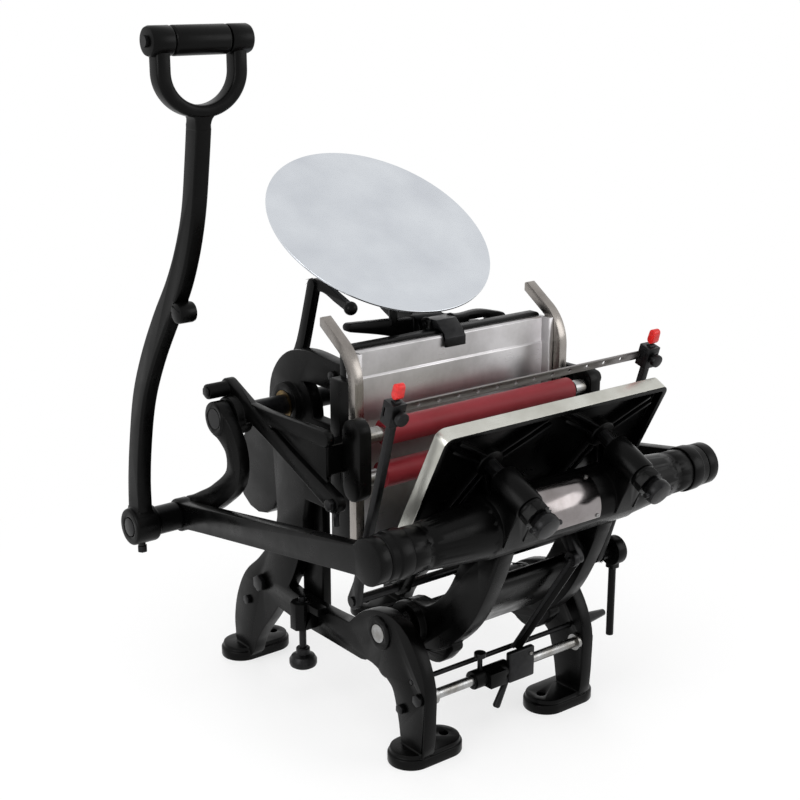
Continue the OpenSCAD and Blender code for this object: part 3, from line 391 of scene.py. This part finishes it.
def choose(piece, kind, test):
    """Edit mode with those points, edges or faces of a piece selected that pass a test."""
    pick(piece)
    bpy.ops.object.mode_set(mode="EDIT")
    bpy.ops.mesh.select_mode(type=kind)
    bpy.ops.mesh.select_all(action="DESELECT")
    bpy.ops.object.mode_set(mode="OBJECT")
    mesh = piece.data
    for part in {"VERT": mesh.vertices, "EDGE": mesh.edges, "FACE": mesh.polygons}[kind]:
        part.select = test(part)
    bpy.ops.object.mode_set(mode="EDIT")


def bevel(piece, width, segments=2, limit=SHARP):
    """Rounds the sharp edges of a piece."""
    pick(piece)
    rounding = piece.modifiers.new("Edges", "BEVEL")
    rounding.width = width
    rounding.segments = segments
    rounding.limit_method = "ANGLE"
    rounding.angle_limit = limit
    rounding.use_clamp_overlap = False
    bpy.ops.object.modifier_apply(modifier=rounding.name)


def apply_place(piece):
    """Puts a piece's place, turn and size into its mesh."""
    pick(piece)
    bpy.ops.object.transform_apply(location=True, rotation=True, scale=True)


def settle(piece, body, finish=None, stands_for=None):
    """Finishes a piece: on its body, for a CAD node if it replaces one."""
    apply_place(piece)
    if finish is not None:
        piece.data.materials.clear()
        piece.data.materials.append(FINISH[finish])
    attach(piece, body)
    if stands_for is not None:
        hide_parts(stands_for)
    pick(piece)
    bpy.ops.object.shade_smooth_by_angle(angle=SHARP)


def merged_copy(node):
    """A copy of a CAD node with its facets merged."""
    piece = bpy.data.objects.new("dressed_" + node, frame["nodes"][node].data.copy())
    bpy.context.scene.collection.objects.link(piece)
    pick(piece)
    bpy.ops.object.mode_set(mode="EDIT")
    bpy.ops.mesh.select_all(action="SELECT")
    bpy.ops.mesh.remove_doubles(threshold=MERGED)
    bpy.ops.mesh.dissolve_limited(angle_limit=LEVEL)
    bpy.ops.object.mode_set(mode="OBJECT")
    return piece


def rounded_copy(node, width):
    """A copy of a CAD node with rounded edges, which stands for the node."""
    piece = merged_copy(node)
    bevel(piece, width)
    settle(piece, BODY_OF[node], look_of(node), node)


def twin(piece, name):
    """A copy of a piece, with its own mesh."""
    pick(piece)
    bpy.ops.object.duplicate(linked=False)
    bpy.context.object.name = name
    return bpy.context.object


def aim(piece, place, along):
    """Stands a piece drawn up from the origin on a place, along a direction."""
    piece.location = place
    piece.rotation_euler = Vector(along).to_track_quat("Z", "Y").to_euler()
    apply_place(piece)


def in_metres(rings):
    """Rings of (radius, height) in millimetres, in metres."""
    return [(radius * MM, height * MM) for radius, height in rings]


def turned(name, rings, sides):
    """A turned piece up from the origin, from rings of (radius, height) in metres."""
    deselect()
    radius, height = rings[0]
    bpy.ops.mesh.primitive_circle_add(vertices=sides, radius=radius, fill_type="NGON",
                                      location=(0, 0, height))
    piece = bpy.context.object
    piece.name = name
    apply_place(piece)
    bpy.ops.object.mode_set(mode="EDIT")
    bpy.ops.mesh.select_all(action="SELECT")
    for wide, top in rings[1:]:
        bpy.ops.mesh.extrude_region_move(TRANSFORM_OT_translate={"value": (0, 0, top - height)})
        if wide != radius:
            bpy.ops.transform.resize(value=(wide / radius, wide / radius, 1.0))
        radius, height = wide, top
    bpy.ops.mesh.select_all(action="SELECT")
    bpy.ops.mesh.normals_make_consistent(inside=False)
    bpy.ops.object.mode_set(mode="OBJECT")
    return piece


def box(name, low, high):
    """A box between two corners in metres."""
    deselect()
    bpy.ops.mesh.primitive_cube_add(size=1.0, location=[(a + b) / 2 for a, b in zip(low, high)])
    piece = bpy.context.object
    piece.name = name
    piece.scale = [b - a for a, b in zip(low, high)]
    apply_place(piece)
    return piece


def carve(piece, cutter):
    """Takes a cutter out of a piece."""
    pick(piece)
    cut = piece.modifiers.new("Cut", "BOOLEAN")
    cut.object = cutter
    cut.operation = "DIFFERENCE"
    cut.solver = "EXACT"
    bpy.ops.object.modifier_apply(modifier=cut.name)
    bpy.data.objects.remove(cutter, do_unlink=True)


def join(pieces, name):
    """Joins pieces into one."""
    deselect()
    for piece in pieces:
        piece.select_set(True)
    bpy.context.view_layer.objects.active = pieces[0]
    bpy.ops.object.join()
    pieces[0].name = name
    return pieces[0]


def cheese_head(name, radius, height):
    """A slotted cheese head on the origin, sunk a little into what it holds."""
    sink, shoulder, rounded = 0.4 * MM, height * 0.7, radius * 0.86
    piece = turned(name, [(radius, -sink), (radius, shoulder), (rounded, height)], 28)
    depth, width = height * 0.45, radius * 0.28
    carve(piece, box("slot", (-2 * radius, -width / 2, height - depth),
                     (2 * radius, width / 2, 2 * height)))
    return piece


def shut_place(joint):
    """A joint's place while the platen is shut."""
    return PLATEN_TURN.inverted() @ Vector(JOINT[joint]["pos_m"])


def open_platen(piece):
    """Swings a piece drawn with the platen shut to its open place."""
    piece.matrix_world = PLATEN_TURN @ piece.matrix_world
    apply_place(piece)


class LETTERPRESS_OT_finishes(bpy.types.Operator):
    """Gives every CAD node its finish"""
    bl_idname = "letterpress.finishes"
    bl_label = "Finishes"

    def execute(self, context):
        make_finishes(context.scene.letterpress_colours)
        for name, node in frame["nodes"].items():
            node.data.materials.clear()
            node.data.materials.append(FINISH[look_of(name)])
        return {"FINISHED"}


class LETTERPRESS_OT_castings(bpy.types.Operator):
    """Rounds the edges of the heavy castings"""
    bl_idname = "letterpress.castings"
    bl_label = "Heavy castings"

    def execute(self, context):
        for node in HEAVY:
            rounded_copy(node, context.scene.letterpress_sizes.cast_edge)
        return {"FINISHED"}


class LETTERPRESS_OT_fittings(bpy.types.Operator):
    """Rounds the edges of the small fittings"""
    bl_idname = "letterpress.fittings"
    bl_label = "Small fittings"

    def execute(self, context):
        for node in LIGHT:
            rounded_copy(node, context.scene.letterpress_sizes.fine_edge)
        return {"FINISHED"}


class LETTERPRESS_OT_bright_work(bpy.types.Operator):
    """Breaks the edges of the ground steel, and widens the bed to its rails"""
    bl_idname = "letterpress.bright_work"
    bl_label = "Ground steel"

    face_gap, flank_gap = 1.2 * MM, 0.4 * MM        # kept free beside the rails
    flank_proud, flank_deep = 11.8 * MM, 4 * MM     # before and behind the bed's face

    def execute(self, context):
        edge = context.scene.letterpress_sizes.ground_edge
        for node in BRIGHT:
            rounded_copy(node, edge)
        self.bed_face(edge)
        return {"FINISHED"}

    def bed_face(self, edge):
        """The bed's face, brought out to the rails with a machined flank on each side."""
        piece = merged_copy("bed_plate")
        half = max(vertex.co.x for vertex in piece.data.vertices)
        choose(piece, "VERT", lambda vertex: abs(vertex.co.x) > half - NEAR)
        wider = (RAIL_IN - self.face_gap) / half
        bpy.ops.transform.resize(value=(wider, 1.0, 1.0), center_override=(0, 0, 0))
        bpy.ops.object.mode_set(mode="OBJECT")
        points = [vertex.co for vertex in piece.data.vertices]
        front = min(point.y for point in points)
        low, high = min(point.z for point in points), max(point.z for point in points)
        outer = RAIL_IN - self.flank_gap
        flanks = [box("flank", (left, front - self.flank_proud, low),
                      (right, front + self.flank_deep, high))
                  for left, right in ((-outer, -half), (half, outer))]
        piece = join([piece] + flanks, "bed_face_with_flanks")
        bevel(piece, edge)
        settle(piece, BODY_OF["bed_plate"], "polished_steel", "bed_plate")


class LETTERPRESS_OT_platen(bpy.types.Operator):
    """Models the platen: machined edge, sunk back, paired ribs and screw bosses"""
    bl_idname = "letterpress.platen"
    bl_label = "Platen"

    half, low, high = 165.5 * MM, 250 * MM, 457 * MM
    front, back, floor = -121.3 * MM, -139.3 * MM, -130.3 * MM
    corner, rim, cove = 11 * MM, 7 * MM, 1.5 * MM
    margin = 12 * MM                                # holds the rounded corners
    boss_x, boss_z = 84 * MM, shut_place("screw_right_turn").z
    boss_rings = ((17, 0), (17, 8.2), (15.5, 9.4))
    rib_apart, rib_half = 5.5 * MM, 1.6 * MM        # from a pair's middle, and half a rib
    rib_low, rib_sunk = 0.6 * MM, 0.5 * MM          # under the rim, and into the floor
    rib_short, rib_clear = 6 * MM, 3 * MM           # before its end, and from the rim
    corner_in, corner_up, middle_in = 16 * MM, 14 * MM, 8 * MM
    lug_x, lug_half, neck_half, neck_sunk = 134 * MM, 7 * MM, 7.6 * MM, 2 * MM
    lug_rings = ((8.6, -7.1), (8.6, 7.1))
    slab_edge, rib_edge, lug_edge = 0.9 * MM, 0.5 * MM, 0.8 * MM

    def execute(self, context):
        slab = self.slab()
        ribs = [rib for side in (-1, 1) for rib in self.ribs(side)]
        web = join(ribs + [self.boss(-1), self.boss(1)], "platen_ribs")
        bevel(web, self.rib_edge)
        open_platen(web)
        settle(web, "platen", "enamel")
        open_platen(slab)
        settle(slab, "platen", stands_for="platen")
        lugs = join([lug for side in (-1, 1) for lug in self.lug(side)], "platen_lugs")
        bevel(lugs, self.lug_edge)
        open_platen(lugs)
        settle(lugs, "platen", "enamel")
        return {"FINISHED"}

    def slab(self):
        """The plate with its sunk back, its edges left bright."""
        piece = box("platen_slab", (-self.half, self.back, self.low),
                    (self.half, self.front, self.high))
        choose(piece, "EDGE", lambda edge: self.runs_back(piece, edge))
        bpy.ops.mesh.bevel(offset=self.corner, segments=8)
        choose(piece, "FACE", lambda face: face.normal.y < -FACING)
        bpy.ops.mesh.inset(thickness=self.rim)
        sink = (0, self.floor - self.back, 0)
        bpy.ops.mesh.extrude_region_move(TRANSFORM_OT_translate={"value": sink})
        bpy.ops.mesh.inset(thickness=self.cove)
        bpy.ops.object.mode_set(mode="OBJECT")
        piece.data.materials.append(FINISH["enamel"])
        piece.data.materials.append(FINISH["edge"])
        for face in piece.data.polygons:
            face.material_index = int(self.machined(face))
        bevel(piece, self.slab_edge, 3)
        return piece

    def runs_back(self, piece, edge):
        """Whether an edge runs from the plate's front to its back."""
        start, end = (piece.data.vertices[index].co for index in edge.vertices)
        return abs(start.y - end.y) > NEAR

    def machined(self, face):
        """Whether a face is on the plate's front or its outer edge."""
        middle = face.center
        outer = abs(middle.x) > self.half - self.margin or not (
            self.low + self.margin < middle.z < self.high - self.margin)
        halfway = abs(middle.y - (self.front + self.back) / 2) < 1 * MM
        return middle.y > self.front - NEAR or (
            outer and halfway and abs(face.normal.y) < SIDEWAYS)

    def ribs(self, side):
        """Pairs of narrow ribs from a screw boss to the corners and the middle."""
        start = Vector((side * self.boss_x, 0, self.boss_z))
        corner, middle = side * (self.half - self.corner_in), side * self.middle_in
        ends = ((corner, self.high - self.corner_up), (corner, self.low + self.corner_up),
                (middle, self.high - self.rib_short - self.rib_clear),
                (middle, self.low + self.rib_short + self.rib_clear))
        made = []
        for x, z in ends:
            run = Vector((x, 0, z)) - start
            for offset in (-self.rib_apart, self.rib_apart):
                rib = box("rib", (0, self.back + self.rib_low, offset - self.rib_half),
                          (run.length - self.rib_short, self.floor + self.rib_sunk,
                           offset + self.rib_half))
                rib.rotation_euler.y = -math.atan2(run.z, run.x)
                rib.location = start
                apply_place(rib)
                made.append(rib)
        return made

    def boss(self, side):
        """The round boss that an impression screw turns in."""
        piece = turned("boss", in_metres(self.boss_rings), 56)
        aim(piece, (side * self.boss_x, self.floor, self.boss_z), (0, -1, 0))
        return piece

    def lug(self, side):
        """The ear that carries the gripper shaft below the platen."""
        pin = shut_place("gripper_tilt")
        middle = side * self.lug_x
        eye = turned("eye", in_metres(self.lug_rings), 48)
        aim(eye, (middle, pin.y, pin.z), (1, 0, 0))
        neck = box("neck", (middle - self.lug_half, pin.y - self.neck_half, pin.z),
                   (middle + self.lug_half, pin.y + self.neck_half, self.low + self.neck_sunk))
        return eye, neck


class LETTERPRESS_OT_lever(bpy.types.Operator):
    """Models the hand lever's open yoke on its bar"""
    bl_idname = "letterpress.lever"
    bl_label = "Hand lever"

    reach = Vector((80 * MM, 60 * MM, 60 * MM))     # half the block that takes the CAD's yoke off
    outer, hole = (52 * MM, 46 * MM), (36 * MM, 33 * MM)
    bend = -30 * MM                                 # where the straight sides start, from the grip
    thick, yoke_edge = 20 * MM, 4.5 * MM
    top_rise, hole_rise = 2 * MM, 40 * MM
    neck_low, neck_lap, neck_high = -84 * MM, 6 * MM, 7 * MM
    neck_half, neck_front, neck_back = 9 * MM, -6.5 * MM, 17.5 * MM
    flare = ((3, 1.04), (3, 1.1), (3, 1.2), (3, 1.3), (2, 1.3))     # rises, and times wider
    flare_lean, flare_thin = -1.1 * MM, 0.96
    eye_x = 32 * MM
    eye_rings = ((11, 0), (14.4, 1), (15, 2.4), (15, 23), (14, 25.4), (11, 26))
    stud_in, stud_y, stud_z = 11 * MM, -11 * MM, 520 * MM
    stud_rings = ((8, 0), (10.6, 1.2), (11.4, 3.5), (11.4, 18.5), (10.6, 20.8), (8, 22))

    def execute(self, context):
        edge = context.scene.letterpress_sizes.lever_edge
        lever = merged_copy("hand_lever")
        top = GRIP + Vector((0, 0, self.neck_low + self.reach.z))
        carve(lever, box("above_neck", top - self.reach, top + self.reach))
        bevel(lever, edge, 4)
        yoke = self.bow(self.outer, self.thick, self.top_rise)
        carve(yoke, self.bow(self.hole, 2 * self.thick, self.hole_rise))
        bevel(yoke, self.yoke_edge, 4, math.radians(40))
        parts = [lever, yoke, self.neck(edge), self.eye(-1), self.eye(1), self.stud()]
        whole = join(parts, "hand_lever_cast")
        settle(whole, BODY_OF["hand_lever"], "enamel", "hand_lever")
        return {"FINISHED"}

    def bow(self, size, thick, rise):
        """A flat D under the grip: half an oval with its straight sides drawn up."""
        middle = GRIP + Vector((0, 0, self.bend))
        deselect()
        bpy.ops.mesh.primitive_cylinder_add(vertices=96, radius=1.0, depth=thick, location=middle,
                                            rotation=(math.radians(90), 0, 0))
        piece = bpy.context.object
        piece.scale = (*size, 1.0)
        apply_place(piece)
        bpy.ops.object.mode_set(mode="EDIT")
        bpy.ops.mesh.select_all(action="SELECT")
        bpy.ops.mesh.bisect(plane_co=middle, plane_no=(0, 0, 1), use_fill=True, clear_outer=True)
        choose(piece, "FACE", lambda face: face.normal.z > FACING)
        move = (0, 0, rise - self.bend)
        bpy.ops.mesh.extrude_region_move(TRANSFORM_OT_translate={"value": move})
        bpy.ops.mesh.select_all(action="SELECT")
        bpy.ops.mesh.normals_make_consistent(inside=False)
        bpy.ops.object.mode_set(mode="OBJECT")
        return piece

    def neck(self, edge):
        """The flare between the bar and the yoke."""
        low = self.neck_low - self.neck_lap
        piece = box("neck", GRIP + Vector((-self.neck_half, self.neck_front, low)),
                    GRIP + Vector((self.neck_half, self.neck_back, low + self.neck_high)))
        choose(piece, "FACE", lambda face: face.normal.z > FACING)
        for rise, wider in self.flare:
            move = (0, self.flare_lean, rise * MM)
            bpy.ops.mesh.extrude_region_move(TRANSFORM_OT_translate={"value": move})
            bpy.ops.transform.resize(value=(wider, self.flare_thin, 1.0),
                                     center_override=tuple(GRIP))
        bpy.ops.object.mode_set(mode="OBJECT")
        bevel(piece, edge, 4, math.radians(50))
        return piece

    def eye(self, side):
        """The round end of the yoke that holds the grip's rod."""
        piece = turned("eye", in_metres(self.eye_rings), 56)
        aim(piece, GRIP + Vector((side * self.eye_x, 0, 0)), (side, 0, 0))
        return piece

    def stud(self):
        """The round stop stud on the bar's front edge."""
        piece = turned("stud", in_metres(self.stud_rings), 48)
        aim(piece, Vector((GRIP.x - self.stud_in, self.stud_y, self.stud_z)), (1, 0, 0))
        return piece


class LETTERPRESS_OT_turned_knobs(bpy.types.Operator):
    """Models the stop screw's knob and the impression screws' knobs with their cross pins"""
    bl_idname = "letterpress.turned_knobs"
    bl_label = "Turned knobs"

    stop_rings = ((12, -38), (16, -35.5), (17, -33), (17, -28), (14, -23), (8.5, -20.5),
                  (8.5, -13.5), (7.5, -12.5), (4.4, -12.5), (4.4, 54))
    knob_start, knob_sunk = 15.3 * MM, 0.3      # along the screw, and millimetres back from there
    knob_rings = ((9, 0), (11, 1), (11, 4), (14, 6.5), (15, 9), (15, 15), (13.6, 17.6), (9, 18.6))
    space_rings = ((30, 0), (30, 40))
    pin_out = 12                                # millimetres along the knob
    pin_rings = ((2.6, -21), (3, -20.4), (3, 20.4), (2.6, 21))

    def execute(self, context):
        stop = turned("stop_screw_turned", in_metres(self.stop_rings), 56)
        aim(stop, JOINT["stop_screw_turn"]["pos_m"], (0, 0, 1))
        settle(stop, "stop_screw", "blackened_steel", "stop_screw")
        knob = turned("knob", in_metres(self.knob_rings), 56)
        pin = turned("cross_pin", in_metres(self.pin_rings), 24)
        self.impression_knob("left", twin(knob, "left_knob"), twin(pin, "left_pin"))
        self.impression_knob("right", knob, pin)
        return {"FINISHED"}

    def impression_knob(self, side, knob, pin):
        """A plain round knob with a cross pin, in place of the fluted one."""
        joint = JOINT["screw_%s_turn" % side]
        along = Vector(joint["axis"])
        foot = Vector(joint["pos_m"]) + along * self.knob_start
        screw = merged_copy("impression_screw_" + side)
        space = turned("knob_space", in_metres(self.space_rings), 24)
        aim(space, foot, along)
        carve(screw, space)
        aim(knob, foot - along * self.knob_sunk * MM, along)
        aim(pin, foot + along * self.pin_out * MM, (1, 0, 0))
        whole = join([screw, knob, pin], "impression_screw_turned_" + side)
        settle(whole, "screw_" + side, "blackened_steel",
               "impression_screw_" + side)


class LETTERPRESS_OT_small_screws(bpy.types.Operator):
    """Adds the bare plate's screws, the rod clamp's handle and plate, and the link's flat band"""
    bl_idname = "letterpress.small_screws"
    bl_label = "Small screws"

    # The plate's screws: millimetres across, degrees round the barrel, and millimetres out of it.
    screw_places = ((-39, 206), (39, 206), (-39, 282), (39, 282))
    screw_out = 35.6
    screw_size, pin_size = (2.4 * MM, 1.2 * MM), (2.2 * MM, 1.6 * MM)   # radius and height
    # Places on the clamp, in millimetres.
    handle_top, handle_foot = Vector((-3, -205, 78)), Vector((-21.5, -205, 43))
    plate_low, plate_high = Vector((-6, -211, 70)), Vector((34, -203, 108))
    pin_place = Vector((27, -211, 100))
    handle_root, handle_waist, handle_end = 3 * MM, 3.4 * MM, 4.6 * MM      # radii
    waist_up, end_short = 4 * MM, 2 * MM            # from the handle's root, and from its end
    plate_edge, band_edge = 2.5 * MM, 1.2 * MM
    # The band: its place under the link's pivot, its run in millimetres, and its section.
    band_x, band_y, band_z = 42 * MM, -23 * MM, -28 * MM
    band_run = Vector((-26, 66, -125))
    band_half, band_front, band_back = 2.4 * MM, -9 * MM, 2.5 * MM
    band_start, band_short = -4 * MM, 1 * MM

    def execute(self, context):
        self.plate_screws()
        self.clamp_handle()
        self.clamp_plate()
        self.link_band()
        return {"FINISHED"}

    def plate_screws(self):
        """Four slotted screws round the barrel that hold the bare plate."""
        head = cheese_head("screw_head", *self.screw_size)
        for index, (x, degrees) in enumerate(self.screw_places):
            turn = math.radians(degrees)
            along = Vector((0, math.sin(turn), -math.cos(turn)))
            screw = twin(head, "plate_screw_%d" % index)
            aim(screw, BARREL + Vector((x * MM, 0, 0)) + along * self.screw_out * MM, along)
            settle(screw, "platen", "turned_steel")
        bpy.data.objects.remove(head, do_unlink=True)

    def clamp_handle(self):
        """The taper handle that hangs from the clamp on the front rod."""
        top, foot = self.handle_top * MM, self.handle_foot * MM
        length = (foot - top).length
        rings = [(self.handle_root, 0), (self.handle_waist, self.waist_up),
                 (self.handle_end, length - self.end_short), (self.handle_waist, length)]
        piece = turned("clamp_handle", rings, 28)
        aim(piece, top, foot - top)
        settle(piece, BODY_OF["rod_clamp"], "blackened_steel")

    def clamp_plate(self):
        """The flat plate on the clamp's right end, with its bright pin."""
        piece = box("clamp_plate", self.plate_low * MM, self.plate_high * MM)
        bevel(piece, self.plate_edge, 3)
        settle(piece, BODY_OF["rod_clamp"], "blackened_steel")
        pin = cheese_head("clamp_pin", *self.pin_size)
        aim(pin, self.pin_place * MM, (0, -1, 0))
        settle(pin, BODY_OF["rod_clamp"], "turned_steel")

    def link_band(self):
        """The flat band of the link that hangs under the barrel."""
        top = Vector(JOINT["link_swing"]["pos_m"])
        top += Vector((self.band_x - top.x, self.band_y, self.band_z))
        run = self.band_run * MM
        piece = box("link_band", (-self.band_half, self.band_front, self.band_start),
                    (self.band_half, self.band_back, run.length - self.band_short))
        bevel(piece, self.band_edge, 3)
        aim(piece, top, run)
        settle(piece, BODY_OF["gripper_link"], "enamel")


# Stage

CAMERA_PLACE = (-1.0859, -1.3650, 0.8700)
CAMERA_RIGHT = (0.78295, -0.62208, 0.0)
CAMERA_UP = (0.17265, 0.21730, 0.96071)
CAMERA_LENS, CAMERA_SENSOR = 66.98, 36.0        # millimetres
FLOOR_SIZE, FLOOR_DROP = 60.0, 0.0003           # a hair under the feet
LAMP_TARGET = (0, -0.05, 0.35)
LAMPS = (                # name, place, size, power, and whether it shows in reflections
    ("Lamp above", (-0.6, -1.0, 2.4), 1.8, 34, False),
    ("Lamp left", (-2.2, -0.3, 1.2), 1.4, 20, True),
    ("Lamp right", (1.6, -1.9, 1.3), 1.4, 14, True),
    ("Lamp behind", (0.8, 2.0, 1.8), 1.6, 18, False),
)


class LETTERPRESS_OT_stage(bpy.types.Operator):
    """Floor, world, lamps and camera"""
    bl_idname = "letterpress.stage"
    bl_label = "Stage"

    def execute(self, context):
        scene = context.scene
        deselect()
        bpy.ops.mesh.primitive_plane_add(size=FLOOR_SIZE, location=(0, 0, -FLOOR_DROP))
        floor = bpy.context.object
        floor.name = "paper_sweep"
        apply_place(floor)
        floor.data.materials.append(FINISH["floor"])
        scene.world = self.world()
        for lamp in LAMPS:
            self.lamp(scene, *lamp)
        scene.camera = self.camera(scene)
        scene.view_settings.view_transform = "Standard"
        return {"FINISHED"}

    def world(self):
        """Even pale light, white to the camera and in reflections."""
        world = bpy.data.worlds.new("Studio")
        world.use_nodes = True
        tree = world.node_tree
        tree.nodes.clear()
        strength = add_node(tree, "MapRange", {
            "Value": seen_ray(tree), "To Min": WORLD_LIGHT, "To Max": 1.0}).outputs["Result"]
        light = add_node(tree, "Background", {"Color": srgb("#ffffff"), "Strength": strength})
        add_node(tree, "OutputWorld", {"Surface": light.outputs["Background"]})
        return world

    def lamp(self, scene, name, place, size, power, shows):
        """A large square lamp aimed at the press."""
        light = bpy.data.lights.new(name, "AREA")
        light.size = size
        light.energy = power
        lamp = bpy.data.objects.new(name, light)
        scene.collection.objects.link(lamp)
        lamp.location = place
        aimed = Vector(LAMP_TARGET) - Vector(place)
        lamp.rotation_euler = aimed.to_track_quat("-Z", "Y").to_euler()
        lamp.visible_glossy = shows

    def camera(self, scene):
        """The camera at the photograph's place and angle."""
        camera = bpy.data.objects.new("Photo camera", bpy.data.cameras.new("Photo camera"))
        scene.collection.objects.link(camera)
        camera.data.lens = CAMERA_LENS
        camera.data.sensor_width = CAMERA_SENSOR
        right, up = Vector(CAMERA_RIGHT), Vector(CAMERA_UP)
        turn = Matrix((right, up, right.cross(up))).transposed()
        camera.matrix_world = Matrix.Translation(CAMERA_PLACE) @ turn.to_4x4()
        return camera


OPERATORS = (
    LETTERPRESS_OT_finishes,
    LETTERPRESS_OT_castings,
    LETTERPRESS_OT_fittings,
    LETTERPRESS_OT_bright_work,
    LETTERPRESS_OT_platen,
    LETTERPRESS_OT_lever,
    LETTERPRESS_OT_turned_knobs,
    LETTERPRESS_OT_small_screws,
    LETTERPRESS_OT_stage,
)


class LETTERPRESS_PT_sidebar(bpy.types.Panel):
    """Lists the sizes, the colours and the steps"""
    bl_idname = "LETTERPRESS_PT_sidebar"
    bl_label = "Letterpress"
    bl_space_type = "VIEW_3D"
    bl_region_type = "UI"
    bl_category = "Letterpress"

    def draw(self, context):
        for group in (context.scene.letterpress_sizes, context.scene.letterpress_colours):
            for name in group.__annotations__:
                self.layout.prop(group, name)
        for step in OPERATORS:
            self.layout.operator(step.bl_idname)


CLASSES = (CastingSizes, FinishColours) + OPERATORS + (LETTERPRESS_PT_sidebar,)


def register():
    """Registers the classes, and hangs the sizes and colours on the scene."""
    for cls in CLASSES:
        bpy.utils.register_class(cls)
    bpy.types.Scene.letterpress_sizes = bpy.props.PointerProperty(type=CastingSizes)
    bpy.types.Scene.letterpress_colours = bpy.props.PointerProperty(type=FinishColours)


def unregister():
    """Takes away what register added."""
    del bpy.types.Scene.letterpress_colours
    del bpy.types.Scene.letterpress_sizes
    for cls in reversed(CLASSES):
        bpy.utils.unregister_class(cls)


def main():
    """Registers the classes and runs every step in order."""
    register()
    for step in OPERATORS:
        group, name = step.bl_idname.split(".")
        getattr(getattr(bpy.ops, group), name)()


if __name__ == "__main__":
    main()
